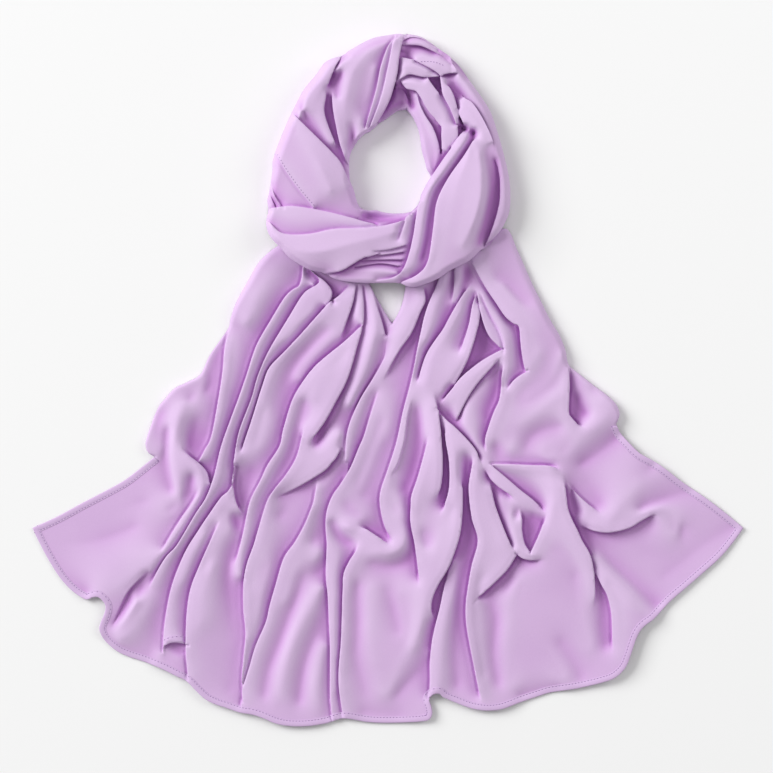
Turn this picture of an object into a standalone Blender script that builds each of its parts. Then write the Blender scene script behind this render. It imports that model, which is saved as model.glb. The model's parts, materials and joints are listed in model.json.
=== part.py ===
"""A chiffon scarf, wound once into an open neck loop and laid flat with both tails fanned out below it.

The cloth lies on the plane z = 0 with the loop at +Y and the tails at -Y. Folds are given as routes on a
plan: x counts to the right and y counts down, both in plan steps, and FAN_WIDTH sets how long a step is.
Each stretch of cloth is a surface through its folds. A tail is a wall of even thickness that follows its
pleats; a stretch of the loop, where many hidden layers lie on each other, is a solid down to its underside.
"""

import math

import bpy
import numpy as np

# Driving dimensions, in metres
FAN_WIDTH = 0.853  # both tails together, from corner to corner
HEM_WIDTH = 0.0075  # turned hem of the cut edges
CLOTH_WALL = 0.0018  # chiffon in its folds, as a wall
HEM_WALL = 0.0010  # the extra layers of a hem
SEAM_GAP = 0.0003  # clearance between pieces that touch

# The plan: extremes of the laid-out scarf, in plan steps
PLAN_LEFT, PLAN_RIGHT = 33.0, 744.0
PLAN_TOP, PLAN_BOTTOM = 35.2, 725.0
STEP = FAN_WIDTH / (PLAN_RIGHT - PLAN_LEFT)
MM = 0.001

# Meshing
TAIL_ROWS = 13  # sections between the gather and the hem
LEFT_SIDE_HEM_ROW, RIGHT_SIDE_HEM_ROW = 9, 8  # where each long edge turns its hem into view
ROWS_PER_STATION = 2  # sections of a loop stretch for each of its stations
SLOPE_SHARES = (0.0, 0.35, 0.7)  # columns between a crest and the valley after it
LEAST_FLANK = 0.0055  # the steep side of a pleat is never narrower, in metres
MOST_SLOPE_FACTOR = 2.2  # an upright wall is never thicker than this many walls, measured straight down
SHARP_ANGLE = math.radians(40)

LILAC = (0.66, 0.47, 0.74, 1.0)
HEM_LILAC = (0.60, 0.42, 0.69, 1.0)
INNER_LILAC = (0.50, 0.33, 0.60, 1.0)

# Folds of a tail from its left edge to its right edge. Each route has seven stations from the gather under the
# loop to the hem: (x, y, height in mm). "valley" is the place of the valley between this crest and the
# next, as a share of the way, at the gather and at the hem: 0.9 is a pleat laid to the left, 0.1 one laid to
# the right. "floor" is the height in mm of that valley at the gather and at the hem.
LEFT_TAIL_FOLDS = [
    dict(name="side edge", valley=(0.5, 0.5), floor=(0.6, 0.0), route=[
        (280, 240, 2), (241, 292, 2), (210, 357, 1), (149, 426, 2),
        (152, 459, 1), (92, 499, 0), (33, 528, 0)]),
    dict(name="corner", valley=(0.5, 0.2), floor=(0.6, 0.0), route=[
        (283, 243, 4), (245, 294, 3), (214, 358, 2), (160, 428, 3),
        (163, 468, 0), (118, 516, 0), (66, 584, 0)]),
    dict(name="ear", valley=(0.7, 0.25), floor=(0.6, 0.0), route=[
        (288, 246, 8), (250, 297, 6), (221, 359, 5), (184, 420, 11),
        (177, 470, 12), (160, 552, 10), (95, 600, 10)]),
    dict(name="first pleat", valley=(0.84, 0.7), floor=(1.5, 0.5), route=[
        (295, 250, 9), (260, 299, 9), (232, 357, 11), (222, 412, 12),
        (205, 472, 12), (169, 556, 11), (102, 635, 6)]),
    dict(name="second pleat", valley=(0.84, 0.8), floor=(1.5, 0.5), route=[
        (303, 254, 9), (287, 303, 11), (260, 357, 12), (238, 412, 13),
        (219, 481, 13), (178, 560, 12), (139, 660, 8)]),
    dict(name="third pleat", valley=(0.84, 0.84), floor=(1.5, 0.5), route=[
        (312, 258, 9), (303, 308, 12), (275, 357, 12), (251, 414, 12),
        (235, 482, 11), (188, 560, 12), (167, 670, 9)]),
    dict(name="fourth pleat", valley=(0.86, 0.8), floor=(1.5, 0.5), route=[
        (323, 261, 9), (336, 308, 12), (291, 355, 13), (260, 414, 13),
        (242, 486, 10), (211, 562, 10), (190, 685, 9)]),
    dict(name="fifth pleat", valley=(0.5, 0.6), floor=(2.0, 0.5), route=[
        (340, 265, 9), (358, 312, 12), (338, 356, 14), (297, 414, 15),
        (268, 486, 14), (240, 562, 12), (218, 706, 8)]),
    dict(name="deep fold, left side", valley=(0.4, 0.6), floor=(1.0, 1.0), route=[
        (350, 267, 9), (364, 314, 11), (348, 358, 14), (312, 416, 16),
        (286, 484, 15), (252, 562, 11), (238, 712, 6)]),
    dict(name="deep fold, right side", valley=(0.6, 0.6), floor=(2.0, 0.5), route=[
        (358, 268, 9), (372, 316, 11), (365, 360, 14), (345, 414, 16),
        (318, 472, 14), (283, 566, 10), (252, 713, 9)]),
    dict(name="soft fold", valley=(0.6, 0.6), floor=(2.0, 0.5), route=[
        (366, 269, 8), (380, 319, 9), (376, 361, 9), (353, 413, 10),
        (330, 476, 7), (306, 570, 9), (288, 725, 5)]),
    dict(name="inner edge", route=[
        (373, 270, 2), (387, 323, 3), (385, 360, 2), (360, 415, 2),
        (338, 478, 2), (327, 570, 1), (331, 722, 1)]),
]

RIGHT_TAIL_FOLDS = [
    dict(name="inner edge", valley=(0.5, 0.5), floor=(1.0, 0.5), route=[
        (404, 268, 2), (393, 323, 3), (387, 360, 2), (360, 415, 2),
        (338, 478, 2), (327, 570, 1), (331, 722, 1)]),
    dict(name="first pleat", valley=(0.25, 0.6), floor=(1.5, 0.5), route=[
        (411, 267, 8), (410, 321, 12), (396, 360, 13), (371, 414, 12),
        (345, 478, 8), (333, 572, 9), (337, 719, 6)]),
    dict(name="left panel", valley=(0.7, 0.6), floor=(1.0, 0.5), route=[
        (420, 266, 8), (421, 321, 7), (402, 361, 6), (382, 416, 6),
        (353, 480, 7), (348, 570, 11), (347, 718, 8)]),
    dict(name="second pleat", valley=(0.6, 0.5), floor=(1.5, 0.5), route=[
        (430, 265, 8), (428, 320, 12), (417, 361, 13), (410, 418, 13),
        (393, 480, 12), (390, 545, 13), (386, 722, 4)]),
    dict(name="broad fold", valley=(0.7, 0.45), floor=(1.5, 0.5), route=[
        (446, 262, 9), (456, 316, 12), (431, 362, 14), (431, 420, 15),
        (430, 480, 16), (427, 572, 13), (430, 720, 7)]),
    dict(name="narrow fold", valley=(0.6, 0.5), floor=(1.5, 0.5), route=[
        (458, 259, 9), (472, 318, 12), (458, 361, 13), (448, 426, 14),
        (454, 482, 14), (453, 572, 13), (436, 694, 10)]),
    dict(name="diamond, left side", valley=(0.5, 0.5), floor=(1.0, 1.5), route=[
        (466, 256, 9), (481, 314, 12), (483, 362, 14), (466, 416, 15),
        (480, 476, 14), (476, 572, 12), (480, 709, 5)]),
    dict(name="diamond, right side", valley=(0.5, 0.5), floor=(1.0, 1.5), route=[
        (474, 252, 9), (491, 312, 13), (506, 358, 16), (499, 412, 15),
        (505, 474, 16), (515, 566, 10), (508, 706, 3)]),
    dict(name="upper panel", valley=(0.5, 0.5), floor=(2.0, 0.5), route=[
        (482, 247, 9), (506, 312, 13), (527, 358, 15), (540, 408, 14),
        (545, 470, 15), (553, 560, 12), (556, 691, 4)]),
    dict(name="turned fold", valley=(0.5, 0.5), floor=(2.0, 0.5), route=[
        (490, 240, 8), (521, 308, 13), (548, 354, 14), (566, 402, 11),
        (578, 452, 13), (592, 556, 12), (600, 681, 7)]),
    dict(name="buckle", valley=(0.5, 0.5), floor=(1.5, 0.0), route=[
        (496, 234, 7), (528, 305, 11), (555, 358, 11), (580, 399, 13),
        (604, 448, 9), (626, 534, 12), (625, 667, 12)]),
    dict(name="second buckle", valley=(0.3, 0.3), floor=(1.5, 0.0), route=[
        (500, 229, 6), (533, 303, 8), (560, 358, 8), (592, 398, 13),
        (616, 446, 8), (652, 508, 9), (645, 624, 5)]),
    dict(name="corner", valley=(0.5, 0.5), floor=(0.6, 0.0), route=[
        (503, 225, 4), (536, 301, 4), (564, 358, 4), (604, 401, 8),
        (625, 452, 4), (672, 506, 0), (696, 577, 0)]),
    dict(name="side edge", route=[
        (505, 221, 2), (539, 300, 2), (567, 358, 2), (614, 404, 6),
        (632, 447, 2), (690, 487, 0), (744, 528, 0)]),
]

# Stretches of the loop. Heights are above the underside, which is listed in mm for each station. The folds run
# from the outer rim to the neck opening, and the valleys and floors are as in the tails. "reach" is the share of a
# route that the stretch follows, where that isn't all of it.
LOOP_LEFT_UNDERSIDE = (0, 0, 0, 0, 0, 0, 0)
LOOP_LEFT_FOLDS = [
    dict(name="outer rim", valley=(0.2, 0.2), floor=(4, 4), route=[
        (384, 36, 4), (322, 67, 4), (290, 115, 4), (273, 160, 4),
        (268, 190, 4), (269, 207, 3), (273, 224, 3)]),
    dict(name="outer lobe", valley=(0.6, 0.6), floor=(20, 7), route=[
        (390, 37, 16), (336, 75, 27), (306, 118, 30), (291, 162, 30),
        (287, 191, 25), (289, 207, 12.5), (291, 225, 11)]),
    dict(name="second lobe", valley=(0.8, 0.7), floor=(22, 8), route=[
        (395, 38, 18), (353, 79, 31), (327, 122, 33), (313, 164, 32),
        (308, 193, 26), (310, 209, 12.5), (311, 226, 11)]),
    dict(name="third lobe", valley=(0.8, 0.7), floor=(22, 8), route=[
        (399, 39, 20), (373, 81, 33), (350, 122, 33), (333, 162, 31),
        (329, 193, 26), (331, 211, 12.5), (332, 227, 11)]),
    dict(name="inner pleat", valley=(0.7, 0.7), floor=(20, 8), route=[
        (403, 39.5, 20), (387, 82, 32), (369, 121, 31), (346, 155, 28),
        (344, 187, 22), (347, 211, 11), (349, 228, 9)]),
    dict(name="inner rim", route=[
        (406, 40, 6), (397.5, 84, 6), (380, 119, 5), (354, 151, 5),
        (352, 183, 4), (360, 211, 3), (362, 229, 3)]),
]

LOOP_WRAP_UNDERSIDE = (0, 0, 0, 0, 6, 12.8, 12.8, 12.8, 12.8, 12.8)
LOOP_WRAP_OUTER_RIM = [
    (406, 47, 4), (440, 72, 4), (469, 107, 4), (490, 148, 4), (499, 195, 4), (484, 248, 4), (440, 280, 4),
    (367, 285, 4), (305, 269, 4), (267, 232, 4)]
LOOP_WRAP_FOLDS = [
    dict(name="outer rim", valley=(0.2, 0.2), floor=(4, 4), route=LOOP_WRAP_OUTER_RIM),
    dict(name="main lobe", valley=(0.6, 0.7), floor=(20, 14), route=[
        (404.5, 58, 24), (433, 84, 28), (459, 118, 33), (477, 152, 34),
        (482, 197, 34), (463, 236, 31), (424, 264, 27),
        (362, 262, 27), (303, 251, 26), (268, 228, 16)]),
    dict(name="inner lobe", valley=(0.6, 0.7), floor=(18, 12), route=[
        (402.5, 69, 26), (426, 94, 30), (445, 128, 32), (456, 156, 32),
        (456, 194, 31), (440, 226, 27), (410, 250, 24),
        (360, 246, 25), (302, 240, 25), (268, 220, 16)]),
    dict(name="strip", valley=(0.7, 0.7), floor=(14, 10), route=[
        (400, 81, 24), (417, 103, 26), (431, 134, 27), (438, 160, 27),
        (438, 190, 26), (424, 218, 22), (402, 238, 19),
        (358, 234, 21), (301, 229, 21), (269, 214, 14)]),
    dict(name="inner rim", route=[
        (397.5, 90, 5), (405, 110, 5), (418, 135, 5), (424, 161, 4),
        (426, 183, 4), (412, 211, 3), (394, 226, 3),
        (352, 221, 3), (300, 210, 3), (271, 209, 3)]),
]

LOOP_OUTER_UNDERSIDE = (0, 0, 0, 0, 4, 12.8)
LOOP_OUTER_FOLDS = [
    dict(name="outer rim", valley=(0.3, 0.3), floor=(4, 4), route=[
        (407, 35, 4), (440, 47, 4), (472, 84, 4), (500, 137, 4), (512, 192, 4), (506, 228, 3)]),
    dict(name="crest", valley=(0.7, 0.7), floor=(14, 8), route=[
        (407, 41, 22), (440, 59, 24), (471, 96, 24), (495, 143, 23), (505, 194, 20), (495, 238, 12)]),
    dict(name="seam with the wrap", reach=5 / 9, route=LOOP_WRAP_OUTER_RIM),
]

LOOP_NECK_BACK_UNDERSIDE = (0, 0, 0, 0)
LOOP_NECK_BACK_FOLDS = [
    dict(name="outer rim", valley=(0.5, 0.5), floor=(6, 6), route=[
        (377.5, 126, 2), (389.5, 106, 2), (397.5, 93, 2), (403.8, 109, 2)]),
    dict(name="crest", valley=(0.7, 0.7), floor=(6, 6), route=[
        (378, 129, 8), (389.5, 113, 13), (397, 103, 14), (403.8, 111, 9)]),
    dict(name="inner rim", route=[
        (378, 131.5, 2), (389, 119.5, 2), (397, 113, 2), (403.8, 113, 2)]),
]

LOOP_INNER_FRONT_UNDERSIDE = (0, 0, 0, 0, 0, 0)
LOOP_INNER_FRONT_FOLDS = [
    dict(name="outer rim", valley=(0.3, 0.3), floor=(6, 6), route=[
        (363, 231, 3), (371, 234, 4), (381, 236, 4), (392, 234, 4), (404, 227, 4), (413, 217, 3)]),
    dict(name="crest", valley=(0.7, 0.7), floor=(6, 6), route=[
        (362.5, 223, 11), (371, 226, 12.3), (381, 227, 12.3),
        (391, 226, 12.3), (400, 220, 10), (409, 211, 7)]),
    dict(name="inner rim", route=[
        (362, 210, 2), (371, 210, 2), (381, 211, 2), (390, 212.5, 2), (399, 212, 2), (406, 208, 2)]),
]


def clear_scene():
    for obj in list(bpy.data.objects):
        bpy.data.objects.remove(obj, do_unlink=True)


def cloth_material(name, colour):
    material = bpy.data.materials.new(name)
    material.use_nodes = True
    shader = material.node_tree.nodes["Principled BSDF"]
    shader.inputs["Base Color"].default_value = colour
    shader.inputs["Roughness"].default_value = 0.8
    shader.inputs["Metallic"].default_value = 0.0
    material.diffuse_color = colour
    return material


def to_metres(route):
    """A route's stations as an array of (x, y, z) in metres, about the middle of the plan."""
    centre_x = (PLAN_LEFT + PLAN_RIGHT) / 2
    centre_y = (PLAN_TOP + PLAN_BOTTOM) / 2
    return np.array([((x - centre_x) * STEP, (centre_y - y) * STEP, height * MM) for x, y, height in route])


def smooth_along(stations, shares):
    """A Catmull-Rom curve through the stations, read at shares of the way from the first to the last."""
    last = len(stations) - 1
    padded = np.vstack([2 * stations[0] - stations[1], stations, 2 * stations[-1] - stations[-2]])
    points = []
    for share in shares:
        span = min(int(share * last), last - 1)
        t = share * last - span
        before, start, end, after = padded[span:span + 4]
        points.append(0.5 * (2 * start + (end - before) * t
                             + (2 * before - 5 * start + 4 * end - after) * t ** 2
                             + (3 * start - before - 3 * end + after) * t ** 3))
    return np.array(points)


def between(pair, shares):
    return pair[0] + (pair[1] - pair[0]) * np.asarray(shares)


def flank_columns(crest, next_crest, fold, shares):
    """Columns from a crest down to the valley after it; the next crest's own column follows them."""
    gap = np.linalg.norm((next_crest - crest)[:, :2], axis=1)
    least = np.minimum(LEAST_FLANK / gap, 0.5)
    valley_share = np.clip(between(fold["valley"], shares), least, 1 - least)[:, None]
    valley = crest + (next_crest - crest) * valley_share
    lower_crest = np.minimum(crest[:, 2], next_crest[:, 2])
    valley[:, 2] = np.minimum(between(fold["floor"], shares) * MM, lower_crest)
    columns = []
    for share in SLOPE_SHARES + (1.0,):
        column = crest + (valley - crest) * share
        ease = 0.5 + 0.5 * math.cos(math.pi * share)
        column[:, 2] = valley[:, 2] + (crest[:, 2] - valley[:, 2]) * ease
        columns.append(column)
    return columns


def fold_grid(folds, shares):
    """The surface through the folds as grid[row, column] = (x, y, z)."""
    crests = [smooth_along(to_metres(fold["route"]), shares * fold.get("reach", 1.0)) for fold in folds]
    columns = []
    for crest, next_crest, fold in zip(crests, crests[1:], folds):
        columns += flank_columns(crest, next_crest, fold, shares)
    columns.append(crests[-1])
    return np.stack(columns, axis=1)


def slope_factor(grid):
    """How much longer than its plan the cloth is at each point: 1 on the flat, more on a flank."""
    along = np.gradient(grid, axis=0)
    across = np.gradient(grid, axis=1)
    normal = np.cross(across, along)
    steepness = np.linalg.norm(normal, axis=2) / np.maximum(np.abs(normal[:, :, 2]), 1e-12)
    return np.minimum(steepness, MOST_SLOPE_FACTOR)


def closed_between(name, top, bottom, material, collection):
    """One closed solid between two grids of points that share their plan."""
    rows, columns = top.shape[:2]
    count = rows * columns
    vertices = [tuple(point) for point in np.vstack([top.reshape(-1, 3), bottom.reshape(-1, 3)])]
    faces = []
    for row in range(rows - 1):
        for column in range(columns - 1):
            a = row * columns + column
            b, c, d = a + 1, a + 1 + columns, a + columns
            faces += [(a, b, c), (a, c, d)]
            faces += [(a + count, c + count, b + count), (a + count, d + count, c + count)]
    rim = list(range(columns))
    rim += [row * columns + columns - 1 for row in range(1, rows)]
    rim += [(rows - 1) * columns + column for column in range(columns - 2, -1, -1)]
    rim += [row * columns for row in range(rows - 2, 0, -1)]
    for start, end in zip(rim, rim[1:] + rim[:1]):
        faces += [(start, start + count, end + count), (start, end + count, end)]
    mesh = bpy.data.meshes.new(name)
    mesh.from_pydata(vertices, [], faces)
    flip_if_inside_out(mesh)
    mesh.materials.append(material)
    mesh.shade_smooth()
    mesh.set_sharp_from_angle(angle=SHARP_ANGLE)
    obj = bpy.data.objects.new(name, mesh)
    collection.objects.link(obj)
    return obj


def flip_if_inside_out(mesh):
    volume = 0.0
    for polygon in mesh.polygons:
        a, b, c = (mesh.vertices[index].co for index in polygon.vertices)
        volume += a.dot(b.cross(c))
    if volume < 0:
        mesh.flip_normals()


def thickened(grid, distance):
    """The grid moved up so far that it clears its old place by the distance, on a flank too."""
    grid = grid.copy()
    grid[:, :, 2] += distance * slope_factor(grid)
    return grid


def add_tail(name, folds, side_column, material, collection):
    """A tail as a wall of even thickness. Returns its upper grid, whose outermost lines bound the hems."""
    top = fold_grid(folds, np.linspace(0.0, 1.0, TAIL_ROWS))
    top = np.insert(top, -1, line_beside(top[-1], top[-2]), axis=0)
    inner = 1 if side_column == 0 else -2
    beyond = 2 if side_column == 0 else -3
    top[:, inner] = line_beside(top[:, side_column], top[:, beyond])
    top = pulled_in(top, SEAM_GAP)
    top[:, :, 2] += CLOTH_WALL
    bottom = thickened(top, -CLOTH_WALL)
    bottom[:, :, 2] = np.maximum(bottom[:, :, 2], 0.0)
    closed_between(name, top, bottom, material, collection)
    return top


def line_beside(edge, inside):
    """The line a hem's width from the edge, or half of the way to the line inside where that is nearer."""
    inward = inside - edge
    width = np.linalg.norm(inward[:, :2], axis=1)
    return edge + inward * np.minimum(HEM_WIDTH / width, 0.5)[:, None]


def pulled_in(grid, distance):
    """The grid with its first and last columns moved inward, so that pieces that share a seam clear each other."""
    grid = grid.copy()
    for edge, inside in ((0, 1), (-1, -2)):
        inward = grid[:, inside] - grid[:, edge]
        grid[:, edge] += inward * (distance / np.linalg.norm(inward[:, :2], axis=1))[:, None]
    return grid


def add_hem(name, strip, material, collection):
    """A turned hem: two lines of the panel's own points, moved out and given the hem's thickness."""
    under = thickened(strip, SEAM_GAP)
    closed_between(name, thickened(under, HEM_WALL), under, material, collection)


def add_tail_hems(side, tail_top, side_column, first_side_row, material, collection):
    """The hem along the free long edge of a tail and the hem along its end, which stops short of it."""
    if side_column == 0:
        side_strip, end_columns = tail_top[first_side_row:, :2], slice(1, None)
    else:
        side_strip, end_columns = tail_top[first_side_row:, -2:], slice(None, -1)
    add_hem(f"hem_{side}_side", side_strip, material, collection)
    end_strip = pulled_in(tail_top[-2:, end_columns], SEAM_GAP)
    add_hem(f"hem_{side}_end", end_strip, material, collection)


def add_loop_stretch(name, folds, underside, material, collection):
    """A stretch of the loop: its folds on top and its hidden layers as one solid down to the underside."""
    shares = np.linspace(0.0, 1.0, ROWS_PER_STATION * (len(underside) - 1) + 1)
    stations = np.linspace(0.0, 1.0, len(underside))
    low = np.interp(shares, stations, underside)[:, None] * MM
    top = pulled_in(fold_grid(folds, shares), SEAM_GAP)
    top[:, :, 2] += low
    bottom = top.copy()
    bottom[:, :, 2] = low
    closed_between(name, top, bottom, material, collection)


def build():
    clear_scene()
    collection = bpy.data.collections.new("ChiffonScarf")
    bpy.context.scene.collection.children.link(collection)
    cloth = cloth_material("chiffon", LILAC)
    hem = cloth_material("hem", HEM_LILAC)
    inner = cloth_material("inner", INNER_LILAC)

    left_top = add_tail("tail_left", LEFT_TAIL_FOLDS, 0, cloth, collection)
    add_tail_hems("left", left_top, 0, LEFT_SIDE_HEM_ROW, hem, collection)
    right_top = add_tail("tail_right", RIGHT_TAIL_FOLDS, -1, cloth, collection)
    add_tail_hems("right", right_top, -1, RIGHT_SIDE_HEM_ROW, hem, collection)

    add_loop_stretch("loop_left", LOOP_LEFT_FOLDS, LOOP_LEFT_UNDERSIDE, cloth, collection)
    add_loop_stretch("loop_outer", LOOP_OUTER_FOLDS, LOOP_OUTER_UNDERSIDE, cloth, collection)
    add_loop_stretch("loop_wrap", LOOP_WRAP_FOLDS, LOOP_WRAP_UNDERSIDE, cloth, collection)
    add_loop_stretch("loop_neck_back", LOOP_NECK_BACK_FOLDS, LOOP_NECK_BACK_UNDERSIDE, inner, collection)
    add_loop_stretch("loop_inner_front", LOOP_INNER_FRONT_FOLDS, LOOP_INNER_FRONT_UNDERSIDE, inner, collection)


build()
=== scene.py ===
"""A lilac chiffon scarf, wound once into an open neck loop and laid flat with both tails fanned out below it.

Every place is given on a plan: x counts to the right and y counts down, both in plan steps of about 1.2 mm.
Heights are in millimetres above the surface that the scarf lies on. The folds of each stretch of cloth are
lines on that plan. A relief is drawn through them, and each stretch is a thin sheet that follows its relief.
"""

import json
import math

import bpy
import numpy as np
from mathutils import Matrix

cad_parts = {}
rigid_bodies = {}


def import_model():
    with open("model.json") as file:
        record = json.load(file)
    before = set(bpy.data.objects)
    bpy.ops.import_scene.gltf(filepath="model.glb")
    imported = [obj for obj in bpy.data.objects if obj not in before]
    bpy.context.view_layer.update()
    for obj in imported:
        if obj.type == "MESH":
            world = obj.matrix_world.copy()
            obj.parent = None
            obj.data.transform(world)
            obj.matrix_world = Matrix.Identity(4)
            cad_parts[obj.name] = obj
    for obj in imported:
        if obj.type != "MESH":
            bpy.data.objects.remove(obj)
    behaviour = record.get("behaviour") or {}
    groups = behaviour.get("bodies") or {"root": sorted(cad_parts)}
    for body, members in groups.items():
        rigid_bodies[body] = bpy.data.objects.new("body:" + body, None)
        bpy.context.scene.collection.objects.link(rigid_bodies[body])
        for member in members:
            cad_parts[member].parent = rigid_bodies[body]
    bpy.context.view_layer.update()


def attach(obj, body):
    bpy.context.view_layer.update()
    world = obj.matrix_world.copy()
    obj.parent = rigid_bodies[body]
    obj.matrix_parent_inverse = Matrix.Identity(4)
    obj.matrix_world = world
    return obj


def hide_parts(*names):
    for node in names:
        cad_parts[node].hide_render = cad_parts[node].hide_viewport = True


for leftover in list(bpy.data.objects):
    bpy.data.objects.remove(leftover)
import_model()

# The plan
FAN_WIDTH = 0.853  # both tails together, from corner to corner, in metres
PLAN_LEFT, PLAN_RIGHT = 33.0, 744.0
PLAN_TOP, PLAN_BOTTOM = 35.2, 725.0
STEP = FAN_WIDTH / (PLAN_RIGHT - PLAN_LEFT)
MM = 0.001


# ----------------------------------------------------------------------------------------------------
# Folds
#
# crest and trough lines are the soft tops and bottoms of folds. An edge is where one layer lies on the next:
# the cloth on its "high" side stands at "top" and drops to "foot" beside it. Heights are in mm, one for the
# whole line, or several that are spread evenly along it.
# ----------------------------------------------------------------------------------------------------


def crest(top, points):
    return dict(kind="crest", top=top, points=points)


def trough(foot, points):
    return dict(kind="trough", foot=foot, points=points)


def edge(high, top, foot, points):
    return dict(kind="edge", high=high, top=top, foot=foot, points=points)


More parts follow.
